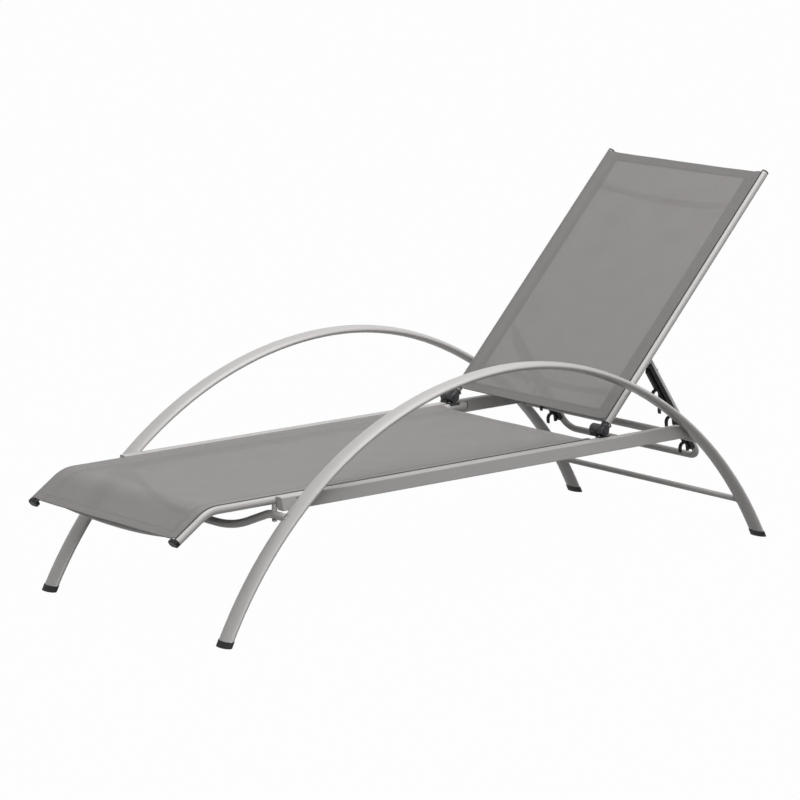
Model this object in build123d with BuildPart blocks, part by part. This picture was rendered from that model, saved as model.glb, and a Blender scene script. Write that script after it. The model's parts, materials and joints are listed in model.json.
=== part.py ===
from build123d import *
import math
import os

os.makedirs("parts", exist_ok=True)

# Sun lounger. Millimetres, +Z up, origin on the floor under the middle of the lounger.
# The foot end is at -X, the head end at +X. The sitter's left side is -Y.

# Running gaps and cutters shared by the whole lounger
weld_gap = 0.2
seat_gap = 0.3
pin_clearance = 0.05
overrun = 40.0

# Arched side tubes: leg, armrest and leg in one bent oval tube
arch_height = 498.0
arch_crown_x = 20.7
arch_crown_radius = 821.0
arch_crown_front_turn = 2.37
arch_crown_rear_turn = 17.93
arch_side_radius = 918.0
leg_splay_angle = 1.2
arch_width = 45.0
arch_depth = 18.0
arch_wall = 1.6

# Rubber foot caps
cap_sleeve_wall = 1.4
cap_sleeve_height = 13.0
cap_sole_height = 4.0

# Sling rails: round tubes with a round track along the top
rail_diameter = 18.0
rail_wall = 1.5
rail_spacing = 524.0
track_radius = 2.8
track_mouth = 2.4
track_depth = 3.6
rail_cap_length = 4.0
rail_cap_plug = 12.0
tip_cap_length = 9.0
tip_cap_tongue = 12.0

# Seat rails
seat_height = 281.0
seat_tip_x = -875.6
seat_tip_drop = 59.0
seat_drop_angle = 33.5
seat_bend_radius = 80.0
seat_rail_past_hinge = 39.0

# Side beams: flat tubes between the arches and the seat rails
beam_width = 20.0
beam_height = 31.0
beam_wall = 1.6
beam_corner_radius = 2.5
beam_top_rise = 10.0
beam_front_past_arch = 35.6
beam_front_cut_angle = 12.7
beam_tube_gap = 1.3
beam_rear_cut_angle = 41.0
beam_screw_outset = 9.1
beam_screw_drop = 4.5
beam_screw_radius = 1.4
beam_screw_length = 5.0
beam_screw_head_radius = 2.4
beam_screw_head_height = 1.2

# Cross tubes between the arches
cross_tube_diameter = 18.0
cross_tube_wall = 1.5
cross_tube_outset = 3.5
front_cross_gap = 3.0
front_cross_dip = 51.0
front_cross_shoulder_inset = 18.0
front_cross_middle = 116.0
front_cross_shoulder_radius = 60.0
front_cross_middle_radius = 300.0
rear_cross_drop = 26.0
brace_height = 92.0
brace_diameter = 14.0
brace_wall = 1.3

# Fixings of the front cross tube to the seat rails
spacer_radius = 6.0
tube_bolt_radius = 3.0
tube_bolt_head_radius = 6.5
tube_bolt_head_height = 5.0
tube_bolt_grip = 4.0

# Bows that hold the sling rails apart
bow_diameter = 16.0
bow_wall = 1.4
front_bow_inset = 33.6
front_bow_sag = 30.0
back_bow_sag = 34.0
top_bow_inset = 101.5
lower_bow_reach = 108.0

# Backrest
hinge_x = 351.4
back_angle = 46.9
back_length = 758.5
back_rail_start = 10.0

# Hinge mouldings: one half on the seat rail, the other on the backrest rail
knuckle_radius = 12.5
knuckle_gap = 0.6
knuckle_chamfer = 2.0
socket_wall = 2.15
socket_length = 19.2
socket_rib_width = 5.0
socket_rib_height = 2.2
hinge_pin_radius = 4.0
hinge_pin_head_radius = 7.6
hinge_pin_head_length = 1.8
saddle_length = 28.0
saddle_depth = 5.0
saddle_cover = 2.5
saddle_clearance = 0.5
saddle_plate = 1.2
saddle_foot_length = 18.0
saddle_corner_radius = 3.0
saddle_screw_inset = 3.6
saddle_screw_radius = 1.8
saddle_screw_length = 9.0
saddle_screw_head_radius = 2.8
saddle_screw_head_height = 1.6
socket_screw_reach = 15.7
socket_screw_radius = 1.5
socket_screw_length = 5.0
socket_screw_head_radius = 2.8
socket_screw_head_height = 1.4

# Stand: a U-shaped tube hung from the backrest rails
stand_reach = 227.0
stand_below = 4.0
stand_side_gap = 15.0
stand_diameter = 16.0
stand_wall = 1.5
stand_bend_margin = 3.9
stand_corner_radius = 32.0
stand_bolt_radius = 4.0
stand_bolt_head_radius = 6.5
stand_bolt_head_length = 4.0
stand_bolt_grip = 3.0
stand_bush_radius = 7.5

# Notch racks: a row of hooks along the front of each stand arm
hook_count = 5
upper_hook_count = 3
hook_pitch = 41.5
hook_stand_off = 27.3
hook_gap = 0.4
hook_opening_angle = 8.0
hook_reach = 8.0
hook_flare_angle = 7.125
hook_prong = 5.0
hook_plate = 7.0
rack_spine_below_tube = 5.0
rack_start = 36.0
rack_start_slope = 14.0
rack_end_margin = 18.0
rack_end_slope = 9.0
rack_bite_radius = 2.6
rack_saddle_width = 17.0
rack_saddle_start = 3.0
rack_saddle_end = 14.0
rack_screw_inset = 30.0
rack_screw_radius = 2.0
rack_screw_depth = 16.0
rack_screw_head_radius = 3.6
rack_screw_head_height = 1.6

# Textile slings with a rod in each edge
fabric_thickness = 1.0
edge_rod_radius = 2.2
sling_tip_inset = 10.5
sling_hinge_gap = 38.0
sling_socket_gap = 6.3
sling_head_inset = 7.5

# Sizes that follow from the ones above: tubes
sides = {"left": -1, "right": 1}
splay = math.radians(leg_splay_angle)
rail_radius = rail_diameter / 2
rail_y = rail_spacing / 2
rail_bore = rail_radius - rail_wall
rail_inner_y = rail_y - rail_radius
track_rise = rail_radius - track_depth
track_boss_radius = track_radius + rail_wall
cross_radius = cross_tube_diameter / 2
brace_radius = brace_diameter / 2
bow_radius = bow_diameter / 2
stand_radius = stand_diameter / 2
arm_y = rail_inner_y - stand_side_gap - stand_radius

# The beams lie between the seat rails and the arches, and the cross tubes just below them
beam_top = seat_height + beam_top_rise
beam_bottom = beam_top - beam_height
beam_inner_y = rail_y + rail_radius + weld_gap
beam_outer_y = beam_inner_y + beam_width
foot_y = beam_outer_y + weld_gap + arch_width / 2 + beam_top * math.tan(splay)
front_cross_height = beam_bottom - front_cross_gap - cross_radius
rear_cross_height = seat_height - rear_cross_drop

# The hinge stands on the seat rail, and the rails and slings end beside it
socket_radius = rail_radius + pin_clearance + socket_wall
knuckle_length = 2 * socket_radius
saddle_top = seat_height + rail_radius + saddle_cover
hinge_z = saddle_top + saddle_clearance + knuckle_radius
seat_rear_x = hinge_x + seat_rail_past_hinge
seat_sling_rear_x = hinge_x - sling_hinge_gap
back_sling_start = socket_length + sling_socket_gap
back_sling_end = back_length - sling_head_inset
top_bow_reach = back_length - top_bow_inset


def direction(angle):
    """Unit vector in the upright lengthwise plane, turned up from +X by an angle."""
    return Vector(math.cos(math.radians(angle)), 0, math.sin(math.radians(angle)))


def side_plane(y):
    """Upright plane at y whose own x and y are the lounger's X and Z."""
    return Plane(origin=(0, y, 0), x_dir=(1, 0, 0), z_dir=(0, -1, 0))


def across(point, heading):
    """Plane square to a heading, its own x along Y and its own y to the upper side."""
    return Plane(origin=point, x_dir=(0, 1, 0), z_dir=heading)


def facing_y(x, y, z):
    """Plane at a point that faces +Y."""
    return Plane(origin=(x, y, z), x_dir=(1, 0, 0), z_dir=(0, 1, 0))


def facing_z(x, y, z):
    """Plane at a point that faces +Z."""
    return Plane(origin=(x, y, z), x_dir=(1, 0, 0), z_dir=(0, 0, 1))


def save(part, name):
    """Labels a finished piece and writes its file."""
    part.label = name
    export_step(part, f"parts/{name}.step")


# Arches. Three arcs share tangents: front leg, crown and rear leg.
crown_centre_z = arch_height - arch_crown_radius
radius_step = arch_crown_radius - arch_side_radius
front_turn = math.radians(arch_crown_front_turn)
rear_turn = math.radians(arch_crown_rear_turn)
front_centre = (
    arch_crown_x - radius_step * math.sin(front_turn),
    crown_centre_z + radius_step * math.cos(front_turn),
)
rear_centre = (
    arch_crown_x + radius_step * math.sin(rear_turn),
    crown_centre_z + radius_step * math.cos(rear_turn),
)


def arch_x(height, end):
    """X of an arch's centre line at a height, on the front (-1) or rear (+1) leg."""
    centre = front_centre if end < 0 else rear_centre
    rise = height / math.cos(splay) - centre[1]
    return centre[0] + end * math.sqrt(arch_side_radius**2 - rise**2)


def arch_y(height):
    """Distance of an arch's centre line from the middle plane at a height."""
    return foot_y - height * math.tan(splay)


def arch_path(side):
    """Centre line of an arch, run on under the floor at both ends."""
    plane = Plane(
        origin=(0, side * foot_y, 0),
        x_dir=(1, 0, 0),
        z_dir=(0, -math.cos(splay), -side * math.sin(splay)),
    )
    front_end = 180 - math.degrees(math.asin((-overrun - front_centre[1]) / arch_side_radius))
    rear_end = math.degrees(math.asin((-overrun - rear_centre[1]) / arch_side_radius))
    crown_start = 90 + arch_crown_front_turn
    crown_end = 90 - arch_crown_rear_turn
    crown_centre = (arch_crown_x, crown_centre_z)
    with BuildLine(plane) as line:
        CenterArc(front_centre, arch_side_radius, front_end, crown_start - front_end)
        CenterArc(crown_centre, arch_crown_radius, crown_start, crown_end - crown_start)
        CenterArc(rear_centre, arch_side_radius, crown_end, rear_end - crown_end)
    return line.line


def arch_bar(side, grow):
    """Filled oval bar along an arch, grown all round."""
    path = arch_path(side)
    with BuildPart() as bar:
        with BuildSketch(across(path @ 0, path % 0)):
            Ellipse(arch_width / 2 + grow, arch_depth / 2 + grow)
        sweep(path=path)
    return bar.part


arch_cutters = [arch_bar(side, weld_gap) for side in sides.values()]

for name, side in sides.items():
    path = arch_path(side)
    with BuildPart() as arch_tube:
        with BuildSketch(across(path @ 0, path % 0)):
            Ellipse(arch_width / 2, arch_depth / 2)
            Ellipse(arch_width / 2 - arch_wall, arch_depth / 2 - arch_wall, mode=Mode.SUBTRACT)
        sweep(path=path)
        split(bisect_by=Plane.XY.offset(cap_sole_height + pin_clearance), keep=Keep.TOP)
    save(arch_tube.part, f"arch_tube_{name}")

# Foot caps: a sleeve around each tube end, on a sole that stands on the floor
cap_bars = [arch_bar(side, cap_sleeve_wall) for side in sides.values()]
cap_cores = [arch_bar(side, pin_clearance) for side in sides.values()]
with BuildPart() as cap_bores:
    add(cap_cores)
    split(bisect_by=Plane.XY.offset(cap_sole_height), keep=Keep.TOP)

with BuildPart() as foot_caps:
    add(cap_bars)
    split(bisect_by=Plane.XY.offset(cap_sleeve_height), keep=Keep.BOTTOM)
    split(bisect_by=Plane.XY, keep=Keep.TOP)
    add(cap_bores.part, mode=Mode.SUBTRACT)
save(foot_caps.part, "foot_caps")


# Sling rails
def rail_section():
    """Tube wall with a boss around the track, and the track open along the top."""
    Circle(rail_radius)
    Circle(rail_bore, mode=Mode.SUBTRACT)
    with Locations((0, track_rise)):
        Circle(track_boss_radius)
    Circle(rail_radius, mode=Mode.INTERSECT)
    with Locations((0, track_rise)):
        Circle(track_radius, mode=Mode.SUBTRACT)
    with Locations((0, rail_radius)):
        Rectangle(track_mouth, 2 * (rail_radius - track_rise), mode=Mode.SUBTRACT)


seat_tip_z = seat_height - seat_tip_drop
seat_bend_x = seat_tip_x + seat_tip_drop / math.tan(math.radians(seat_drop_angle))
drop_heading = direction(seat_drop_angle)


def drop_point(distance):
    """X and Z on the dropped front stretch, a distance behind the rail's tip."""
    return (seat_tip_x + distance * drop_heading.X, seat_tip_z + distance * drop_heading.Z)


def seat_path(y, start, end_x):
    """Line of the seat at y, from a distance behind the tip back to an X."""
    with BuildLine(side_plane(y)) as line:
        FilletPolyline(
            drop_point(start),
            (seat_bend_x, seat_height),
            (end_x, seat_height),
            radius=seat_bend_radius,
        )
    return line.line


saddle_screw_off = saddle_length / 2 - saddle_screw_inset
saddle_screw_places = [hinge_x - saddle_screw_off, hinge_x + saddle_screw_off]
front_cross_x = arch_x(front_cross_height, -1) - cross_tube_outset
rear_cross_x = arch_x(rear_cross_height, 1) + cross_tube_outset

seat_rail_cutters = []
for name, side in sides.items():
    path = seat_path(side * rail_y, tip_cap_length, seat_rear_x)
    with BuildPart() as rail_cutter:
        with BuildSketch(across(path @ 0, path % 0)):
            Circle(rail_radius + weld_gap)
        sweep(path=path)
    seat_rail_cutters.append(rail_cutter.part)
    with BuildPart() as seat_rail:
        with BuildSketch(across(path @ 0, path % 0)):
            rail_section()
        sweep(path=path)
        for place in saddle_screw_places:
            with BuildSketch(facing_z(place, side * rail_y, seat_height)):
                Circle(saddle_screw_radius + pin_clearance)
            extrude(amount=rail_diameter, mode=Mode.SUBTRACT)
        with BuildSketch(facing_z(front_cross_x, side * rail_y, seat_height)):
            Circle(tube_bolt_radius + pin_clearance)
        extrude(amount=-rail_diameter, mode=Mode.SUBTRACT)
    save(seat_rail.part, f"seat_rail_{name}")

# Backrest plane: it turns about the hinge line
back_heading = direction(back_angle)
back_normal = direction(back_angle + 90)


def back_point(reach, lift, y):
    """Point on the backrest: a reach up from the hinge, and a lift off the rails' plane."""
    return Vector(hinge_x, y, hinge_z) + back_heading * reach + back_normal * lift


stand_pivot = back_point(stand_reach, -stand_below, 0)

back_rail_cutters = []
for name, side in sides.items():
    start = back_point(back_rail_start, 0, side * rail_y)
    screw_at = back_point(socket_screw_reach, 0, side * rail_y)
    with BuildPart() as rail_cutter:
        with BuildSketch(across(start, back_heading)):
            Circle(rail_radius + weld_gap)
        extrude(amount=back_length)
    back_rail_cutters.append(rail_cutter.part)
    with BuildPart() as back_rail:
        with BuildSketch(across(start, back_heading)):
            rail_section()
        extrude(amount=back_length - rail_cap_length - back_rail_start)
        with BuildSketch(facing_y(stand_pivot.X, side * rail_y, stand_pivot.Z)):
            Circle(stand_bolt_radius + pin_clearance)
        extrude(amount=-side * rail_diameter, mode=Mode.SUBTRACT)
        with BuildSketch(facing_y(screw_at.X, screw_at.Y, screw_at.Z)):
            Circle(socket_screw_radius + pin_clearance)
        extrude(amount=side * rail_diameter, mode=Mode.SUBTRACT)
    save(back_rail.part, f"back_rail_{name}")


# Rail end caps
def rail_cap(point, heading, outward, length, tongue=0):
    """Cap on a rail's end, its plug clear of the track, with or without a tongue along Y."""
    plane = across(point, heading)
    with BuildPart() as cap:
        with BuildSketch(plane):
            Circle(rail_radius)
            if tongue:
                with Locations((tongue / 2, 0)):
                    SlotCenterToCenter(abs(tongue), rail_diameter)
        extrude(amount=outward * length)
        rim = cap.faces().sort_by(Axis(point, heading * outward))[-1].edges()
        fillet(rim, radius=rail_cap_length / 2)
        with BuildSketch(plane):
            Circle(rail_bore - pin_clearance)
            with Locations((0, track_rise)):
                Circle(track_boss_radius + pin_clearance, mode=Mode.SUBTRACT)
        extrude(amount=-outward * rail_cap_plug)
    return cap.part


tip_x, tip_z = drop_point(tip_cap_length)
rear_points = [Vector(seat_rear_x, side * rail_y, seat_height) for side in sides.values()]
head_points = [
    back_point(back_length - rail_cap_length, 0, side * rail_y) for side in sides.values()
]
cap_sets = {
    "seat_front_caps": [
        rail_cap(
            Vector(tip_x, side * rail_y, tip_z),
            drop_heading,
            -1,
            tip_cap_length,
            -side * tip_cap_tongue,
        )
        for side in sides.values()
    ],
    "seat_rear_caps": [
        rail_cap(point, direction(0), 1, rail_cap_length) for point in rear_points
    ],
    "back_end_caps": [
        rail_cap(point, back_heading, 1, rail_cap_length) for point in head_points
    ],
}
for name, pieces in cap_sets.items():
    with BuildPart() as end_caps:
        add(pieces)
    save(end_caps.part, name)

# Side beams: flat tubes with closed slanting ends. The rear one clears the rear cross tube.
front_slant = beam_height / 2 * math.tan(math.radians(beam_front_cut_angle))
rear_slant = beam_height / 2 / math.tan(math.radians(beam_rear_cut_angle))
beam_front_x = arch_x(beam_top - beam_height / 2, -1) - beam_front_past_arch
beam_rear_x = rear_cross_x - cross_radius - beam_tube_gap - rear_slant
beam_outline = [
    (beam_front_x - front_slant, beam_top),
    (beam_rear_x - rear_slant, beam_top),
    (beam_rear_x + rear_slant, beam_bottom),
    (beam_front_x + front_slant, beam_bottom),
]
beam_screw_z = beam_top - beam_screw_drop
beam_screw_x = arch_x(beam_screw_z, -1) - beam_screw_outset

for name, side in sides.items():
    with BuildPart() as side_beam:
        with BuildSketch(side_plane(side * beam_inner_y)):
            Polygon(*beam_outline, align=None)
        extrude(amount=-side * (beam_outer_y - beam_inner_y))
        fillet(side_beam.edges().filter_by(Axis.X), radius=beam_corner_radius)
        with BuildSketch(side_plane(side * (beam_inner_y + beam_wall))):
            Polygon(*beam_outline, align=None)
            offset(amount=-beam_wall, mode=Mode.REPLACE)
        extrude(amount=-side * (beam_outer_y - beam_inner_y - 2 * beam_wall), mode=Mode.SUBTRACT)
        with BuildSketch(facing_y(beam_screw_x, side * beam_outer_y, beam_screw_z)):
            Circle(beam_screw_radius + pin_clearance)
        extrude(amount=-side * beam_screw_length, mode=Mode.SUBTRACT)
    save(side_beam.part, f"side_beam_{name}")

with BuildPart() as beam_screws:
    for side in sides.values():
        with BuildSketch(facing_y(beam_screw_x, side * beam_outer_y, beam_screw_z)):
            Circle(beam_screw_head_radius)
        extrude(amount=side * beam_screw_head_height)
        with BuildSketch(facing_y(beam_screw_x, side * beam_outer_y, beam_screw_z)):
            Circle(beam_screw_radius)
        extrude(amount=-side * beam_screw_length)
save(beam_screws.part, "beam_screws")


# Cross tubes: their ends are cut to the arches' inner flanks
def cross_end(height):
    """How far out a cross tube runs before it is cut to the arch."""
    return arch_y(height) - arch_width / 4


def ring_section(radius, wall):
    """Section of a round tube."""
    Circle(radius)
    Circle(radius - wall, mode=Mode.SUBTRACT)


front_end_y = cross_end(front_cross_height)
front_cross_shoulder = rail_y - front_cross_shoulder_inset
with BuildLine(across((front_cross_x, 0, front_cross_height), (1, 0, 0))) as front_cross_line:
    FilletPolyline(
        (-front_end_y, 0),
        (-front_cross_shoulder, 0),
        (-front_cross_middle, -front_cross_dip),
        (front_cross_middle, -front_cross_dip),
        (front_cross_shoulder, 0),
        (front_end_y, 0),
        radius=[
            front_cross_shoulder_radius,
            front_cross_middle_radius,
            front_cross_middle_radius,
            front_cross_shoulder_radius,
        ],
    )
with BuildPart() as front_cross_tube:
    path = front_cross_line.line
    with BuildSketch(Plane(origin=path @ 0, x_dir=(1, 0, 0), z_dir=path % 0)):
        ring_section(cross_radius, cross_tube_wall)
    sweep(path=path)
    add(arch_cutters, mode=Mode.SUBTRACT)
    for side in sides.values():
        with BuildSketch(facing_z(front_cross_x, side * rail_y, front_cross_height)):
            Circle(tube_bolt_radius + pin_clearance)
        extrude(amount=cross_tube_diameter, both=True, mode=Mode.SUBTRACT)
save(front_cross_tube.part, "front_cross_tube")

with BuildPart() as rear_cross_tube:
    with BuildSketch(facing_y(rear_cross_x, 0, rear_cross_height)):
        ring_section(cross_radius, cross_tube_wall)
    extrude(amount=cross_end(rear_cross_height), both=True)
    add(arch_cutters, mode=Mode.SUBTRACT)
save(rear_cross_tube.part, "rear_cross_tube")

with BuildPart() as rear_floor_brace:
    with BuildSketch(facing_y(arch_x(brace_height, 1), 0, brace_height)):
        ring_section(brace_radius, brace_wall)
    extrude(amount=cross_end(brace_height), both=True)
    add(arch_cutters, mode=Mode.SUBTRACT)
save(rear_floor_brace.part, "rear_floor_brace")

# Spacers and bolts between the front cross tube and the seat rails
with BuildPart() as cross_tube_core:
    with BuildSketch(facing_y(front_cross_x, 0, front_cross_height)):
        Circle(cross_radius + weld_gap)
    extrude(amount=foot_y, both=True)

with BuildPart() as cross_tube_spacers:
    for side in sides.values():
        with BuildSketch(facing_z(front_cross_x, side * rail_y, front_cross_height)):
            Circle(spacer_radius)
            Circle(tube_bolt_radius + pin_clearance, mode=Mode.SUBTRACT)
        extrude(amount=seat_height - front_cross_height)
    add(cross_tube_core.part, mode=Mode.SUBTRACT)
    add(seat_rail_cutters, mode=Mode.SUBTRACT)
save(cross_tube_spacers.part, "cross_tube_spacers")

bolt_head_top = front_cross_height - cross_radius - weld_gap
bolt_end = seat_height - rail_radius + tube_bolt_grip
with BuildPart() as cross_tube_bolts:
    for side in sides.values():
        with BuildSketch(facing_z(front_cross_x, side * rail_y, bolt_head_top)):
            RegularPolygon(tube_bolt_head_radius, 6)
        extrude(amount=-tube_bolt_head_height)
        with BuildSketch(facing_z(front_cross_x, side * rail_y, bolt_head_top)):
            Circle(tube_bolt_radius)
        extrude(amount=bolt_end - bolt_head_top)
save(cross_tube_bolts.part, "cross_tube_bolts")


# Bows: curved tubes welded between a pair of sling rails
def bow_path(plane, sag):
    """Arc from rail to rail that hangs below its plane's x axis."""
    with BuildLine(plane) as line:
        ThreePointArc((-rail_y, 0), (0, -sag), (rail_y, 0))
    return line.line


bow_x, bow_z = drop_point(front_bow_inset)
front_bow_plane = across((bow_x, 0, bow_z), drop_heading)
top_bow_plane = across(back_point(top_bow_reach, 0, 0), back_heading)
lower_bow_plane = across(back_point(lower_bow_reach, 0, 0), back_heading)
bows = {
    "seat_front_bow": (front_bow_plane, front_bow_sag, seat_rail_cutters),
    "back_top_bow": (top_bow_plane, back_bow_sag, back_rail_cutters),
    "back_lower_bow": (lower_bow_plane, back_bow_sag, back_rail_cutters),
}
for name, (plane, sag, cutters) in bows.items():
    path = bow_path(plane, sag)
    with BuildPart() as bow:
        with BuildSketch(Plane(origin=path @ 0, x_dir=plane.z_dir, z_dir=path % 0)):
            ring_section(bow_radius, bow_wall)
        sweep(path=path)
        add(cutters, mode=Mode.SUBTRACT)
    save(bow.part, name)

# Hinge halves on the backrest rails: a knuckle and a socket for the rail
knuckle_half = knuckle_length / 2
for name, side in sides.items():
    rail_line = side * rail_y
    root = back_point(0, 0, rail_line)
    screw_at = back_point(socket_screw_reach, 0, rail_line)
    with BuildPart() as hinge_back_half:
        with BuildSketch(facing_y(hinge_x, rail_line, hinge_z)):
            Circle(knuckle_radius)
        extrude(amount=knuckle_half, both=True)
        chamfer(hinge_back_half.edges().filter_by(GeomType.CIRCLE), length=knuckle_chamfer)
        with BuildSketch(across(root, back_heading)):
            Circle(socket_radius)
        extrude(amount=socket_length)
        with BuildSketch(across(root, back_heading)):
            with Locations((0, socket_radius)):
                Rectangle(socket_rib_width, 2 * socket_rib_height)
        extrude(amount=socket_length)
        with BuildSketch(across(back_point(back_rail_start, 0, rail_line), back_heading)):
            Circle(rail_radius + pin_clearance)
        extrude(amount=socket_length, mode=Mode.SUBTRACT)
        with BuildSketch(facing_y(hinge_x, rail_line, hinge_z)):
            Circle(hinge_pin_radius + pin_clearance)
        extrude(amount=knuckle_length, both=True, mode=Mode.SUBTRACT)
        with BuildSketch(facing_y(screw_at.X, rail_line, screw_at.Z)):
            Circle(socket_screw_radius + pin_clearance)
        extrude(amount=side * knuckle_length, mode=Mode.SUBTRACT)
    save(hinge_back_half.part, f"hinge_back_half_{name}")

with BuildPart() as socket_screws:
    for side in sides.values():
        seat = back_point(socket_screw_reach, 0, side * (rail_y + socket_radius))
        with BuildSketch(facing_y(seat.X, seat.Y, seat.Z)):
            Circle(socket_screw_head_radius)
        extrude(amount=side * socket_screw_head_height)
        with BuildSketch(facing_y(seat.X, seat.Y, seat.Z)):
            Circle(socket_screw_radius)
        extrude(amount=-side * socket_screw_length)
save(socket_screws.part, "socket_screws")

# Hinge halves on the seat rails: a saddle over the rail and a knuckle beside it.
# Both sides use the same moulding, with its knuckle on the +Y side.
saddle_bottom = seat_height + saddle_depth
outer_knuckle_start = knuckle_half + knuckle_gap
outer_knuckle_end = outer_knuckle_start + knuckle_length
for name, side in sides.items():
    rail_line = side * rail_y
    plate_start = rail_line - rail_radius
    plate_end = rail_line + outer_knuckle_end
    with BuildPart() as hinge_seat_half:
        with BuildSketch(facing_z(hinge_x, rail_line, saddle_bottom)):
            Rectangle(saddle_length, rail_diameter)
        extrude(amount=saddle_top - saddle_bottom)
        with BuildSketch(facing_z(hinge_x, (plate_start + plate_end) / 2, saddle_top)):
            RectangleRounded(saddle_length, plate_end - plate_start, saddle_corner_radius)
        extrude(amount=-saddle_plate)
        with BuildSketch(facing_y(hinge_x, rail_line + outer_knuckle_start, hinge_z)):
            Circle(knuckle_radius)
        extrude(amount=knuckle_length)
        round_edges = hinge_seat_half.edges().filter_by(GeomType.CIRCLE)
        chamfer(round_edges.group_by(SortBy.RADIUS)[-1], length=knuckle_chamfer)
        with BuildSketch(facing_z(hinge_x, rail_line + outer_knuckle_start, saddle_top)):
            Rectangle(saddle_foot_length, knuckle_length, align=(Align.CENTER, Align.MIN))
        extrude(amount=hinge_z - saddle_top)
        with BuildSketch(facing_y(hinge_x, rail_line + outer_knuckle_start, hinge_z)):
            Circle(hinge_pin_radius + pin_clearance)
        extrude(amount=knuckle_length, mode=Mode.SUBTRACT)
        for place in saddle_screw_places:
            with BuildSketch(facing_z(place, rail_line, seat_height)):
                Circle(saddle_screw_radius + pin_clearance)
            extrude(amount=rail_diameter, mode=Mode.SUBTRACT)
        add(seat_rail_cutters, mode=Mode.SUBTRACT)
    save(hinge_seat_half.part, f"hinge_seat_half_{name}")

with BuildPart() as hinge_base_screws:
    for side in sides.values():
        for place in saddle_screw_places:
            with BuildSketch(facing_z(place, side * rail_y, saddle_top)):
                Circle(saddle_screw_head_radius)
            extrude(amount=saddle_screw_head_height)
            with BuildSketch(facing_z(place, side * rail_y, saddle_top)):
                Circle(saddle_screw_radius)
            extrude(amount=-saddle_screw_length)
save(hinge_base_screws.part, "hinge_base_screws")

with BuildPart() as hinge_pins:
    for side in sides.values():
        head_face = side * rail_y - knuckle_half - seat_gap
        with BuildSketch(facing_y(hinge_x, head_face, hinge_z)):
            Circle(hinge_pin_head_radius)
        extrude(amount=-hinge_pin_head_length)
        with BuildSketch(facing_y(hinge_x, head_face, hinge_z)):
            Circle(hinge_pin_radius)
        extrude(amount=side * rail_y + outer_knuckle_end - head_face)
save(hinge_pins.part, "hinge_pins")

# The stand hangs where the hook in use holds the rear cross tube, a stand-off from its arms
cross_from_pivot = Vector(rear_cross_x, 0, rear_cross_height) - stand_pivot
tube_slope = math.degrees(math.atan2(-cross_from_pivot.Z, cross_from_pivot.X))
stand_angle = tube_slope - math.degrees(math.asin(hook_stand_off / cross_from_pivot.length))
arm_heading = direction(-stand_angle)
arm_front = direction(-stand_angle - 90)
tube_along = cross_from_pivot.dot(arm_heading)
hook_places = [
    tube_along + (number - upper_hook_count) * hook_pitch for number in range(hook_count)
]
last_hook = hook_places[-1]
rack_end = last_hook + rack_end_margin
rack_screw_places = [rack_start + rack_screw_inset, rack_end - rack_screw_inset]
stand_length = rack_end + stand_bend_margin + stand_corner_radius

# Stand: one tube bent to a U, its ends domed around the pivot bolts
with BuildLine(across(stand_pivot, arm_front)) as stand_line:
    FilletPolyline(
        (-arm_y, 0),
        (-arm_y, stand_length),
        (arm_y, stand_length),
        (arm_y, 0),
        radius=stand_corner_radius,
    )


def arm_point(along, front, y):
    """Point by a stand arm: along it from the pivot, and off to its front."""
    return Vector(stand_pivot.X, y, stand_pivot.Z) + arm_heading * along + arm_front * front


with BuildPart() as stand_tube:
    path = stand_line.line
    with BuildSketch(Plane(origin=path @ 0, x_dir=(0, 1, 0), z_dir=path % 0)):
        ring_section(stand_radius, stand_wall)
    sweep(path=path)
    with Locations(arm_point(0, 0, -arm_y), arm_point(0, 0, arm_y)):
        Sphere(stand_radius)
    with BuildSketch(facing_y(stand_pivot.X, 0, stand_pivot.Z)):
        Circle(stand_bolt_radius + pin_clearance)
    extrude(amount=rail_y, both=True, mode=Mode.SUBTRACT)
    for side in sides.values():
        for place in rack_screw_places:
            with BuildSketch(Plane(origin=arm_point(place, 0, side * arm_y), z_dir=arm_front)):
                Circle(rack_screw_radius + pin_clearance)
            extrude(amount=stand_diameter, both=True, mode=Mode.SUBTRACT)
save(stand_tube.part, "stand_tube")

# Pivot bolts and bushes of the stand
bolt_head_y = arm_y - stand_radius - seat_gap
with BuildPart() as stand_pivot_bolts:
    for side in sides.values():
        with BuildSketch(facing_y(stand_pivot.X, side * bolt_head_y, stand_pivot.Z)):
            Circle(stand_bolt_head_radius)
        extrude(amount=-side * stand_bolt_head_length)
        with BuildSketch(facing_y(stand_pivot.X, side * bolt_head_y, stand_pivot.Z)):
            Circle(stand_bolt_radius)
        extrude(amount=side * (rail_inner_y + stand_bolt_grip - bolt_head_y))
save(stand_pivot_bolts.part, "stand_pivot_bolts")

bush_start = arm_y + stand_radius + seat_gap
with BuildPart() as stand_pivot_bushes:
    for side in sides.values():
        with BuildSketch(facing_y(stand_pivot.X, side * bush_start, stand_pivot.Z)):
            Circle(stand_bush_radius)
            Circle(stand_bolt_radius + pin_clearance, mode=Mode.SUBTRACT)
        extrude(amount=side * (rail_inner_y - weld_gap - bush_start))
save(stand_pivot_bushes.part, "stand_pivot_bushes")

# Notch racks, drawn along the arm in x and out from its front in y
notch_radius = cross_radius + hook_gap
hook_turn = 90 - stand_angle - hook_opening_angle
spine_front = hook_stand_off - rack_spine_below_tube
flare_slope = math.tan(math.radians(hook_flare_angle))
hook_flare = hook_reach * flare_slope
prong_tip_radius = (hook_prong - hook_flare) / 2
slot_length = hook_reach + notch_radius
slot_flare = slot_length * flare_slope
spine_outline = [
    (rack_start, 0),
    (rack_start, spine_front - rack_start_slope),
    (rack_start + rack_start_slope, spine_front),
    (rack_end - rack_end_slope, spine_front),
    (rack_end, spine_front - rack_end_slope),
    (rack_end, 0),
]

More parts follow.
